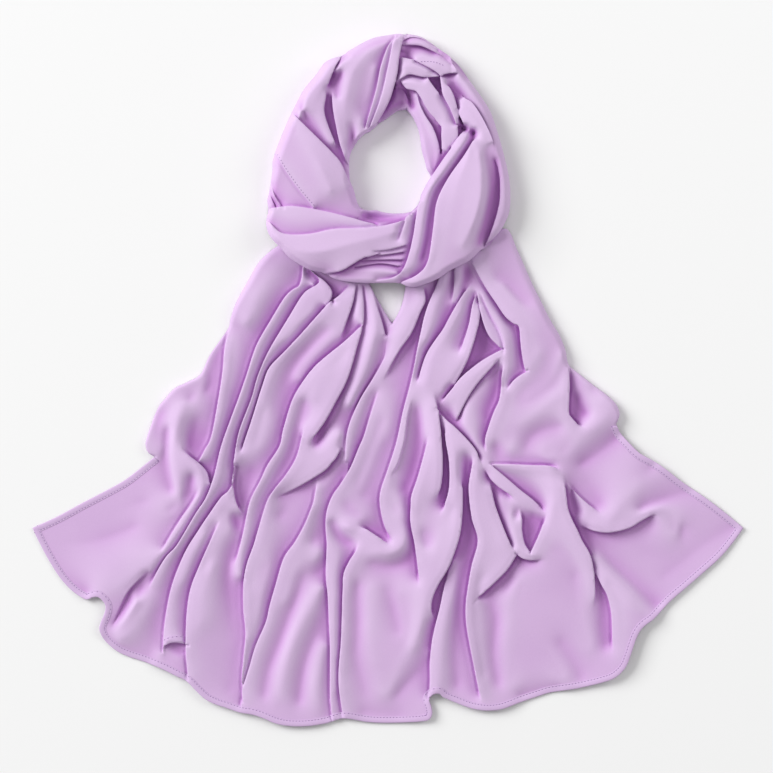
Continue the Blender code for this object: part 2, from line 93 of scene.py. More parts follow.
LEFT_TAIL_FOLDS = [
    # corner panel, flat on the surface
    trough(1.2, [(150, 466), (120, 485), (82, 508), (42, 530)]),
    trough(1.2, [(44, 538), (60, 566), (75, 585), (87, 593)]),
    trough((1.2, 2.0), [(60, 545), (100, 540), (140, 525)]),
    trough((2.0, 1.2), [(150, 500), (120, 510), (80, 530)]),
    # panel beside the ear, and the ear itself
    trough((1.5, 2.0, 2.0), [(222, 345), (212, 372), (206, 395)]),
    crest((5, 6, 4), [(205, 380), (196, 392), (188, 402)]),
    crest((3, 5, 6, 5), [(160, 412), (158, 430), (163, 446), (160, 452)]),
    crest((9, 12, 12, 10, 8, 5, 3), [
        (189, 401), (181, 411), (176, 428), (175, 442), (176, 460), (179, 482), (180, 497), (176, 507),
        (166, 512)]),
    trough((4, 2.5, 2, 1.5), [(168, 425), (165, 450), (168, 475), (173, 495)]),
    trough((4, 1.5, 1, 2), [(198, 418), (193, 432), (190, 443), (193, 452)]),
    trough((2, 1.5, 1.5), [(208, 428), (203, 444), (199, 455)]),
    crest((10, 12, 12, 10, 9, 9, 8), [
        (178, 440), (184, 453), (193, 462), (202, 473), (203, 487), (194, 505), (180, 528), (163, 553),
        (150, 571)]),
    edge("south", (10, 10, 9, 9), (6, 3, 2.5, 3), [
        (182, 447), (190, 456), (199, 463), (207, 472), (210, 484)]),
    trough((3, 2.5, 2.5), [(193, 472), (190, 488), (183, 502)]),
    edge("east", (7, 8, 8), (4, 3, 4), [(199, 489), (191, 504), (182, 517), (172, 533), (161, 552)]),
    # first pleat
    crest((8, 10, 12, 11), [(279, 248), (268, 270), (256, 298), (245, 326)]),
    edge("east", (5, 9, 11, 11, 9), (2, 2, 3, 3, 4), [
        (229, 329), (225, 347), (223, 372), (219, 399), (212, 436), (205, 450), (199, 461)]),
    trough((7, 6, 6), [(240, 325), (239, 350), (236, 380), (230, 400)]),
    edge("east", (9, 10, 12, 12, 13, 13, 12, 12, 11, 9, 7), (5, 4, 4, 3, 3, 3, 3, 3, 3, 3, 3), [
        (303, 266), (302, 277), (299, 286), (293, 290), (285, 298), (271, 321), (257, 346), (247, 376),
        (239, 399), (233, 415), (222, 446), (215, 475), (207, 497), (196, 514), (178, 544), (167, 556),
        (158, 570), (149, 588)]),
    trough((3, 2, 3), [(306, 269), (309, 275), (313, 281)]),
    crest((12, 10, 6), [(140, 590), (128, 612), (117, 634)]),
    # the lobe at the hem, and the wedge behind it
    crest((9, 9, 8, 6), [(168, 548), (148, 566), (122, 584), (101, 602)]),
    edge("west", (6, 7, 6.5, 3), (5, 3, 1.5, 2), [
        (151, 569), (141, 578), (131, 588), (124, 599), (111, 628)]),
    trough((2.5, 1.5, 2), [(146, 583), (134, 600), (118, 622)]),
    crest((6, 8, 7), [(150, 594), (142, 609), (131, 629), (119, 640)]),
    trough((3, 2, 2), [(159, 608), (156, 632), (151, 655)]),
    trough(1.5, [(104, 640), (120, 652), (150, 663)]),
    # second pleat
    edge("east", (9, 11, 12, 13, 13, 12, 12, 10, 9, 8, 6), (4, 4, 4, 4, 4, 3, 3, 3, 2, 2, 2), [
        (311, 271), (319, 280), (317, 285), (304, 294), (289, 318), (270, 350), (259, 375), (252, 399),
        (240, 431), (235, 458), (231, 487), (221, 498), (209, 515), (199, 530), (185, 553), (172, 586),
        (165, 622), (163, 650)]),
    crest((10, 9, 8), [(207, 530), (192, 556), (180, 586)]),
    # third pleat, with the knot above it
    edge("west", (11, 12, 12, 11), (7, 4, 3, 4), [
        (312, 271), (323, 280), (331, 290), (331, 298), (326, 305)]),
    crest((11, 12, 11), [(309, 280), (316, 290), (314, 302)]),
    trough((3, 2.5, 3), [(334, 290), (337, 296), (333, 303)]),
    edge("east", (9, 13, 14, 14, 12, 12, 11, 8), (6, 4, 5, 4, 3, 3, 3, 4), [
        (348, 287), (338, 297), (327, 306), (301, 335), (285, 352), (270, 368), (263, 386), (252, 421),
        (246, 438), (240, 454)]),
    edge("west", (8, 10, 10, 9), (4, 2, 2, 3), [(236, 466), (233.5, 484), (236, 502), (243, 514)]),
    crest((11, 12, 11), [(318, 306), (300, 322), (284, 342)]),
    trough((9, 6, 5, 6), [(332, 328), (312, 345), (296, 364), (284, 388), (278, 412)]),
    crest((12, 10, 9, 8), [(348, 305), (330, 336), (310, 360), (297, 382)]),
    crest((9, 9, 8), [(266, 405), (260, 430), (255, 450)]),
    trough((2, 1, 1, 2), [(254, 466), (249, 480), (246, 495), (248, 506)]),
    trough((2, 1, 2), [(241, 472), (239, 487), (243, 502)]),
    edge("west", (12, 12, 10), (7, 4, 5), [(356, 287), (353, 302), (347, 320), (340, 341)]),
    # fourth pleat
    crest((9, 11, 12), [(358, 288), (359, 304), (358, 322)]),
    edge("east", (12, 13, 14, 14, 12, 11, 11, 10, 9, 7), (6, 5, 5, 4, 3, 3, 3, 3, 3, 3), [
        (361, 326), (352, 335), (341, 345), (331, 353), (316, 366), (304, 381), (293, 400), (284, 429),
        (280, 446), (268, 465), (261, 480), (252, 497), (248, 510), (244, 530), (239, 550), (234, 566)]),
    crest((9, 9, 7), [(249, 520), (242, 550), (240, 580)]),
    trough((9, 5, 4, 4, 5), [(306, 398), (298, 428), (289, 456), (275, 481), (262, 504), (255, 530)]),
    edge("east", (13, 12, 12, 10, 10, 10, 10, 9, 8, 6), (7, 5, 4, 4, 3, 2, 1.5, 1.5, 1.5, 2), [
        (304, 428), (297, 456), (286, 475), (275, 489), (267, 502), (258, 531), (254, 545), (247, 565),
        (244, 585), (244, 609), (246, 633), (244, 656), (242, 680), (243, 700)]),
    crest((12, 15, 15), [(350, 345), (335, 366), (320, 382), (313, 402)]),
    trough((1.5, 1.5, 2), [(238, 640), (234, 668), (230, 695)]),
    edge("west", (9, 11, 13, 15, 15, 15, 14, 13), (6, 6, 7, 8, 7, 5, 3, 3), [
        (362.5, 287), (364, 307), (363, 325), (357, 347), (352, 365), (346, 382), (336, 401), (325, 421),
        (315, 435), (311, 443)]),
    trough((8, 7, 5, 3, 3), [(350, 378), (341, 397), (330, 417), (321, 434), (314, 448)]),
    crest(12, [(306, 428), (305, 446), (310, 461), (320, 463), (332, 452), (341, 434)]),
    # the pocket below the third pleat
    crest(8, [(225, 507), (230, 534)]),
    trough((1.5, 1, 1.5), [(233, 512), (236, 523), (240, 532)]),
    # panels of the hem below the pleats
    crest((9, 9, 8), [(222, 520), (212, 548), (204, 572)]),
    edge("east", (9, 10, 10, 9, 9, 8, 6), (7, 5, 3, 3, 3, 3, 2), [
        (220, 520), (210, 542), (200, 565), (191, 588), (187, 614), (186, 650), (188, 678)]),
    crest((10, 10, 9), [(214, 560), (203, 592), (199, 630)]),
    trough((3, 2, 1.5, 1.5, 2), [(236, 540), (231, 560), (228, 584), (231, 612), (235, 648)]),
    # the mouth at its hem, with the layer below showing inside
    edge("north", (6, 8, 8, 8, 7), (1.5, 1, 1, 1, 1.5), [
        (165, 653), (164.5, 647), (169, 643), (177, 642), (187, 644)]),
    trough(1, [(168, 650), (185, 652)]),
    crest((2.5, 3.5, 3), [(165, 655), (175, 663), (186, 670)]),
    crest((10, 9, 8), [(262, 530), (254, 560), (250, 590)]),
    edge("north", (12, 13, 12, 11, 8, 5), (7, 4, 3, 3, 3, 4), [
        (340, 450), (337, 456), (332, 462), (326, 469), (316, 476), (303, 484), (290, 491), (275, 498)]),
    # fifth pleat and the strip beside the gap
    crest((9, 12, 14, 13, 12), [(368, 290), (374, 310), (376, 328), (371, 352), (364, 375), (350, 405)]),
    edge("west", (10, 11, 11), (6, 5, 5), [(372, 288), (377, 306), (382, 322), (385, 334)]),
    crest((5, 6, 6), [(376, 290), (383, 306), (390, 322)]),
    # below the fifth pleat
    trough(4, [(300, 492), (288, 505), (278, 520)]),
    edge("east", (7, 10, 10, 10, 9, 9, 8, 7, 5), (4, 3, 3, 3, 3, 3, 3, 3, 2), [
        (317, 480), (314, 500), (310, 512), (304, 526), (295, 542), (284, 558), (276, 584), (270, 605),
        (266, 622), (256, 645), (250, 665), (244, 685), (241, 704)]),
    crest((7, 8, 8, 6), [(268, 560), (262, 590), (258, 615), (252, 640)]),
    crest((9, 8, 8), [(300, 552), (290, 580), (284, 604)]),
    trough((5, 4, 4), [(319, 515), (318, 530), (312, 545)]),
    trough((5, 4, 3.5, 3, 3), [(305, 572), (300, 590), (290, 617), (280, 645), (270, 670), (264, 700)]),
    crest((8, 9, 9, 8, 5), [(322, 588), (309, 609), (297, 633), (287, 662), (282, 690), (281, 712)]),
    trough((3, 3, 2), [(323, 618), (314, 642), (305, 668), (299, 706)]),
    crest((6, 7, 5), [(325, 645), (319, 668), (316, 694), (316, 714)]),
    crest(8, [(320, 552), (314, 560)]),
    trough((2, 3), [(324, 567), (314, 576)]),
]

RIGHT_TAIL_FOLDS = [
    # strip between the tails, and the centre panel
    crest((9, 12, 12, 10), [(413, 292), (409, 315), (400, 334), (392, 350)]),
    edge("east", (8, 9, 10, 11, 11, 11, 10, 9), (7, 6, 5, 4, 4, 4, 6, 8), [
        (386, 342), (385, 354), (381, 364), (372, 380), (364, 393), (358, 404), (351, 420), (347, 434),
        (345.5, 446), (345, 460)]),
    edge("west", (11, 12, 12, 11, 9), (6, 3, 3, 4, 7), [
        (424, 290), (425, 301), (420, 312), (411, 333), (400, 349), (391, 365), (384, 380)]),
    edge("east", (8, 10, 11, 11, 10, 9, 9, 8, 8, 7, 5), (7, 5, 3, 3, 3, 3, 2, 2, 2, 2, 2), [
        (379, 389), (374, 403), (369, 419), (364, 436), (359, 448), (352, 465), (347, 474), (340, 485),
        (333, 495), (328, 507), (326, 518), (326, 530), (327, 545), (326, 574), (328, 597), (329, 621),
        (330, 644), (330, 668), (330, 695), (332, 718)]),
    trough((3, 4, 5, 6), [(421, 322), (414, 345), (404, 368), (395, 392)]),
    trough(6, [(340, 460), (330, 478), (320, 498)]),
    crest((8, 8, 7), [(385, 415), (372, 450), (356, 490)]),
    trough((6, 6, 5), [(388, 440), (376, 470), (364, 500)]),
    # ridge on the right of the centre panel
    edge("east", (9, 11, 12, 13, 13, 13, 12, 12, 12, 12, 12, 12, 11, 10, 9),
         (5, 5, 5, 5, 4, 4, 5, 5, 5, 5, 5, 5, 4, 4, 3), [
        (440, 274), (435, 289), (429, 303), (424.5, 317), (421.5, 331), (418, 347), (414, 368), (409, 389),
        (403, 412), (398, 436), (394, 451), (387, 472), (381, 490), (380, 504), (384, 524), (392, 541)]),
    crest((10, 12, 13), [(446, 273), (440, 292), (432, 316), (425, 344)]),
    edge("west", (12, 12, 12, 11), (10, 8, 8, 9), [
        (412, 400), (408, 414), (406, 428), (404, 442), (398, 463), (391, 476)]),
    trough((7, 4, 3, 4), [(416, 404), (419, 428), (417, 450), (411, 474), (402, 494)]),
    crest((10, 9), [(392, 496), (398, 515)]),
    # the curl in the centre panel and the ridge below it
    trough((4, 3, 3), [(331, 522), (336, 532), (345, 541), (355, 544)]),
    crest((11, 12, 11), [(341, 526), (349, 527), (357, 532)]),
    edge("south", (9, 11, 12, 11), (5, 3, 3, 4), [(358, 525), (366, 529), (378, 537), (390, 544)]),
    crest((10, 12, 13, 12, 10), [(362, 549), (378, 551), (394, 551), (404, 541), (404, 524)]),
    trough((7, 5, 4, 4), [(368, 563), (386, 567), (403, 564), (413, 552)]),
    crest((6, 7, 7), [(345, 500), (352, 512), (365, 516)]),
    # panels of the hem under the curl
    crest((8, 8, 8, 6), [(335, 550), (335, 590), (335, 640), (334, 690)]),
    edge("east", (11, 11, 10, 9, 9, 8, 5), (7, 3, 2, 2, 2, 2, 2), [
        (358, 543), (355, 552), (349, 562), (344, 574), (343, 591), (342, 621), (341, 644), (339, 668),
        (339, 686), (341, 703), (343, 716)]),
    trough((5, 4, 4, 3), [(358, 580), (359, 620), (358, 660), (368, 700)]),
    crest((8, 8, 7), [(372, 585), (373, 625), (378, 665)]),
    trough((6, 5, 6), [(386, 585), (394, 610), (400, 636)]),
    crest((8, 8, 7, 5), [(402, 590), (408, 625), (398, 660), (384, 695)]),
    trough((4, 2.5, 2, 2), [(430, 650), (421, 669), (406, 685), (394, 700)]),
    trough(2, [(362, 712), (400, 715)]),
    # broad fold
    edge("east", (12, 14, 14, 14, 13, 12, 11), (5, 4, 4, 4, 4, 5, 6), [
        (470, 284), (458, 303), (450, 317), (443, 330), (433, 344), (426, 356), (421, 370), (417, 384)]),
    crest((13, 14, 14, 14), [(463, 305), (447, 330), (431, 362), (425, 388)]),
    edge("east", (13, 14, 15, 15, 13, 12, 10), (8, 5, 4, 4, 4, 4, 6), [
        (428, 436), (424, 455), (418, 477), (412, 495), (411, 507), (411, 523), (415, 544), (418, 568),
        (419, 584)]),
    crest((14, 15, 15), [(429, 405), (433, 428), (433, 450)]),
    crest((12, 14, 14, 12, 11, 9), [(452, 505), (446, 530), (436, 556), (426, 585), (421, 621), (411, 652)]),
    trough(10, [(424, 530), (428, 548)]),
    edge("west", (14, 16, 16, 15, 13), (10, 5, 3, 3, 5), [
        (435, 395), (439, 420), (441, 441), (442, 462), (441, 482), (437, 499)]),
    edge("east", (13, 15, 15, 15, 13), (8, 4, 3, 3, 6), [
        (444, 424), (446, 441), (449, 458), (450, 474), (449, 490), (445, 504), (441, 512)]),
    # small pleats at the gather
    trough((6, 7, 9), [(451, 277), (447, 299), (440, 318)]),
    edge("east", (10, 11, 11), (6, 5, 8), [(454, 268), (454, 286), (451, 306)]),
    crest((10, 11, 10), [(459, 270), (459, 287), (456, 303)]),
    trough((3, 3, 5), [(467, 268), (466, 280), (462, 292)]),
    # narrow fold, left of the diamond
    edge("east", (10, 13, 13, 12), (8, 6, 6, 8), [
        (475, 288), (475, 296), (472, 307), (469, 324), (464, 340), (459, 354)]),
    edge("west", (12, 14, 15, 14, 12), (10, 5, 3, 3, 5), [
        (479, 304), (479, 319), (476, 332), (472, 346), (467, 360), (461, 372), (454, 384)]),
    crest((14, 14, 13, 12), [(461, 357), (453, 371), (446, 384), (440, 398)]),
    trough((3, 2, 2), [(482, 330), (482, 343), (476, 358)]),
    # the two ridges that meet at the right of the diamond
    edge("east", (12, 13, 14, 15, 15), (8, 4, 3, 2, 2), [
        (477, 294), (480, 308), (484, 324), (490, 337), (501, 348)]),
    edge("east", (12, 13, 14, 15, 14), (10, 10, 11, 12, 10), [
        (479, 290), (485, 304), (492, 318), (499, 331), (503, 343), (504, 356)]),
    crest((13, 15, 16, 14, 12), [(492, 310), (501, 330), (505, 346), (505, 366), (503, 388)]),
    edge("south", (15, 14, 14, 13, 12), (3, 2, 3, 4, 6), [
        (502, 350), (494, 354), (482, 361), (470, 370), (461, 378), (453, 388), (440, 403)]),
    edge("north", (14, 14, 13, 12, 11), (8, 5, 4, 4, 4), [
        (500, 358), (486, 373), (478, 382), (469, 395), (461, 410), (455, 424)]),
    trough(4, [(446, 412), (455, 421)]),
    # ridge from the diamond down to the cross fold, and the thin strip that runs on under it
    crest((7, 9, 11, 12, 12, 11), [
        (487, 376), (476, 388), (467, 402), (464, 416), (470, 432), (478, 447), (487, 460)]),
    crest((11, 12, 12, 11, 8), [(487, 460), (496, 474), (509, 487), (525, 500), (540, 512)]),
    edge("south", (12, 12, 11, 9), (9, 6, 4, 3), [
        (491, 465), (503, 475), (519, 489), (534, 501), (545, 512)]),
    trough((6, 4, 4, 5), [(497, 378), (495, 392), (490, 404), (484, 418)]),
    edge("east", (14, 15, 15, 14, 13, 12), (9, 5, 4, 4, 5, 8), [
        (503, 362), (502, 375), (501, 390), (499, 401), (494, 412), (489, 426), (485, 440), (486, 452)]),
    edge("south", (12, 15, 15, 14), (7, 5, 4, 4), [
        (437, 410), (447, 421), (454, 427), (466, 439), (475, 450), (481, 463)]),
    edge("north", (10, 12, 12, 11), 5, [(484, 468), (490, 478), (498, 486), (507, 492.5), (514, 499)]),
    # ridges below it
    crest((14, 15, 14), [(448, 430), (454, 455), (456, 485)]),
    trough((8, 4, 3, 3), [(466, 452), (466, 472), (466, 500), (468, 530)]),
    edge("west", (14, 15, 15, 14, 12, 11, 8), (7, 4, 4, 3, 2, 2, 3), [
        (461, 478), (462, 495), (461, 523), (457, 543), (448, 567), (438, 584), (432, 598), (431, 609),
        (434, 619)]),
    edge("east", (12, 15, 15, 14, 13, 12, 10, 7), (8, 4, 3, 3, 3, 2, 2, 2), [
        (472, 455), (472, 466), (469, 488), (472, 517), (478, 540), (472, 565), (468, 588), (466, 606),
        (467, 627), (473, 660), (478, 686), (481, 700)]),
    crest((14, 14, 13), [(478, 470), (481, 500), (492, 530), (500, 552)]),
    edge("west", (13, 13, 14, 13), (6, 4, 4, 4), [
        (490, 482), (494, 503), (501, 523), (508, 540), (514, 550)]),
    crest((10, 10, 9), [(499, 494), (505, 506), (508, 520)]),
    edge("north", (12, 12, 11, 9), (4, 3, 2, 2), [
        (516, 555), (506, 570), (492, 584), (480, 595), (474, 602)]),
    crest((10, 9, 8, 5), [(484, 572), (477, 605), (479, 640), (485, 680)]),
    # strip with the open mouth at the hem
    edge("east", (7, 9, 9, 9, 9, 8), (5, 3, 2, 2, 2, 2), [
        (452, 560), (445, 583), (440, 607), (435, 627), (432, 642), (430, 662), (430, 680), (429, 696)]),
    crest((7, 9, 9, 9), [(455, 574), (446, 609), (440, 644), (437, 690)]),
    trough((5, 3, 2), [(462, 560), (458, 600), (455, 650), (458, 690)]),
    # cross fold and the loop under it
    edge("south", (12, 14, 15, 14), (9, 7, 7, 7), [
        (492, 464), (506, 464), (527, 465), (550, 466), (559, 470)]),
    edge("west", (15, 16, 16, 15, 13, 10, 6), (8, 5, 3, 3, 3, 4, 4), [
        (564, 478), (565, 492), (567, 508), (571, 519), (577, 531), (581, 540), (589, 554), (593, 569),
        (595, 591), (594, 606)]),
    crest((13, 16, 16, 12), [(540, 473), (553, 486), (553, 505), (548, 530)]),
    edge("west", 11, (4, 2.5, 2.5, 5), [(520.5, 509), (521.5, 519), (521.5, 531), (524, 543), (529, 551)]),
    trough((3, 2, 3), [(531, 512), (534, 522), (530, 541)]),
    edge("east", (12, 12, 12, 11), (3, 2.5, 3, 5), [(546, 515), (542, 527), (537, 539), (531, 551)]),
    crest((11, 11, 12, 12, 12), [(512, 507), (511.5, 520), (514, 534), (518, 546), (526, 554), (540, 556)]),
    trough((6, 5, 6), [(517, 508), (516.5, 514), (516.5, 521)]),
    edge("north", (11, 11, 10, 9), (4, 3, 4, 7), [(517, 554), (523, 558), (532, 560), (543, 559)]),
    crest((10, 10, 8), [(548, 548), (566, 556), (580, 575)]),
    trough((4, 3, 3, 2.5), [(490, 598), (497, 620), (494, 655), (500, 688)]),
    trough((4, 3.5), [(514, 574), (503, 592)]),
    crest((7, 7, 6, 5), [(522, 580), (513, 620), (510, 655), (513, 688)]),
    crest((5, 4.5), [(544, 650), (566, 680)]),
    trough((3, 2.5), [(558, 638), (574, 662), (582, 678)]),
    crest((7, 6, 5), [(575, 570), (578, 610), (590, 650)]),
    # upper panel, turned over at the gather
    edge("east", (12, 14, 16, 16, 15), (9, 7, 6, 7, 8), [
        (472, 264), (478, 275), (487, 290), (496, 303), (505, 316), (513, 323), (519, 327), (521, 347),
        (523, 361), (525, 370)]),
    edge("south", (14, 14, 13), (8, 7, 8), [(526, 372), (519, 376), (512, 382), (506, 391)]),
    trough((9, 9, 11), [(494, 272), (512, 290), (530, 306)]),
    crest((12, 14, 14), [(500, 282), (514, 303), (536, 328)]),
    crest((15, 15, 14), [(541, 350), (528, 368), (514, 383)]),
    trough((13, 12, 13), [(562, 352), (556, 372), (546, 386), (520, 402)]),
    crest((14, 14, 13), [(560, 395), (540, 410), (515, 425)]),
    edge("west", (11, 13, 13, 12, 10), (8, 4, 3, 3, 5), [
        (569, 369), (569, 385), (568, 411), (571, 418), (577, 424), (584, 427)]),
    trough((9, 8, 8), [(563, 426), (545, 430), (532, 437), (524, 452)]),
    trough((8, 7), [(494, 442), (502, 458)]),
    crest((11, 12), [(508, 432), (512, 452)]),
    crest((10, 11), [(545, 448), (552, 460)]),
    # buckles of the long edge
    crest((8, 12, 12, 12, 11, 9), [(592, 388), (602, 400), (608, 411), (595, 426), (578, 436), (560, 455)]),
    trough((3, 2.5, 3), [(576, 392), (580, 408), (589, 417)]),
    trough((4, 4, 3), [(620, 436), (600, 452), (578, 466)]),
    trough((4, 3, 3), [(571, 488), (575, 502), (580, 516)]),
    crest((5, 9, 11, 10), [(655, 464), (642, 478), (628, 496), (612, 517), (605, 526)]),
    edge("south", (8, 9, 9, 8), (6, 4.5, 4, 5), [(567, 482), (576, 493), (588, 504), (601, 513)]),
    trough((4.5, 4, 5), [(584, 478), (594, 492), (603, 508)]),
    crest((8, 10, 10, 9), [(582, 515), (594, 524), (608, 527), (624, 524)]),
    crest((9, 9, 8, 5, 3), [(624, 524), (638, 516), (652, 509), (663, 511), (673, 521), (675, 536)]),
    edge("north", (6, 9, 10, 10, 9, 8, 6), (3, 2.5, 2, 2, 2, 2, 3), [
        (579, 525), (592, 530), (604, 532), (616, 531), (630, 527), (642, 520), (652, 515), (657, 515)]),
    trough((2, 3, 5), [(694, 489), (664, 500), (636, 511)]),
    trough(2, [(655, 522), (640, 532), (615, 541)]),
    trough(1.5, [(682, 524), (683, 542)]),
    trough(1.2, [(735, 526), (700, 548), (660, 580)]),
    trough(1.5, [(690, 560), (665, 560), (640, 550)]),
    # lower right lobe
    crest((8, 9, 9, 7), [(592, 557), (610, 578), (631, 600), (646, 619)]),
    trough((3, 2, 1.5), [(594, 540), (613, 563), (636, 584), (658, 605)]),
    edge("east", (7, 9, 9, 9, 8), (4, 2, 1.5, 1.5, 2), [
        (595, 572), (601, 584), (607, 595), (611, 612), (612, 632), (612, 650)]),
    trough((3, 1.5, 1.5, 2.5), [(598, 585), (602, 600), (602, 625), (606, 652)]),
    crest((7, 8, 9, 9), [(606, 580), (620, 600), (628, 625), (622, 655)]),
    trough(2, [(520, 696), (560, 688)]),
]

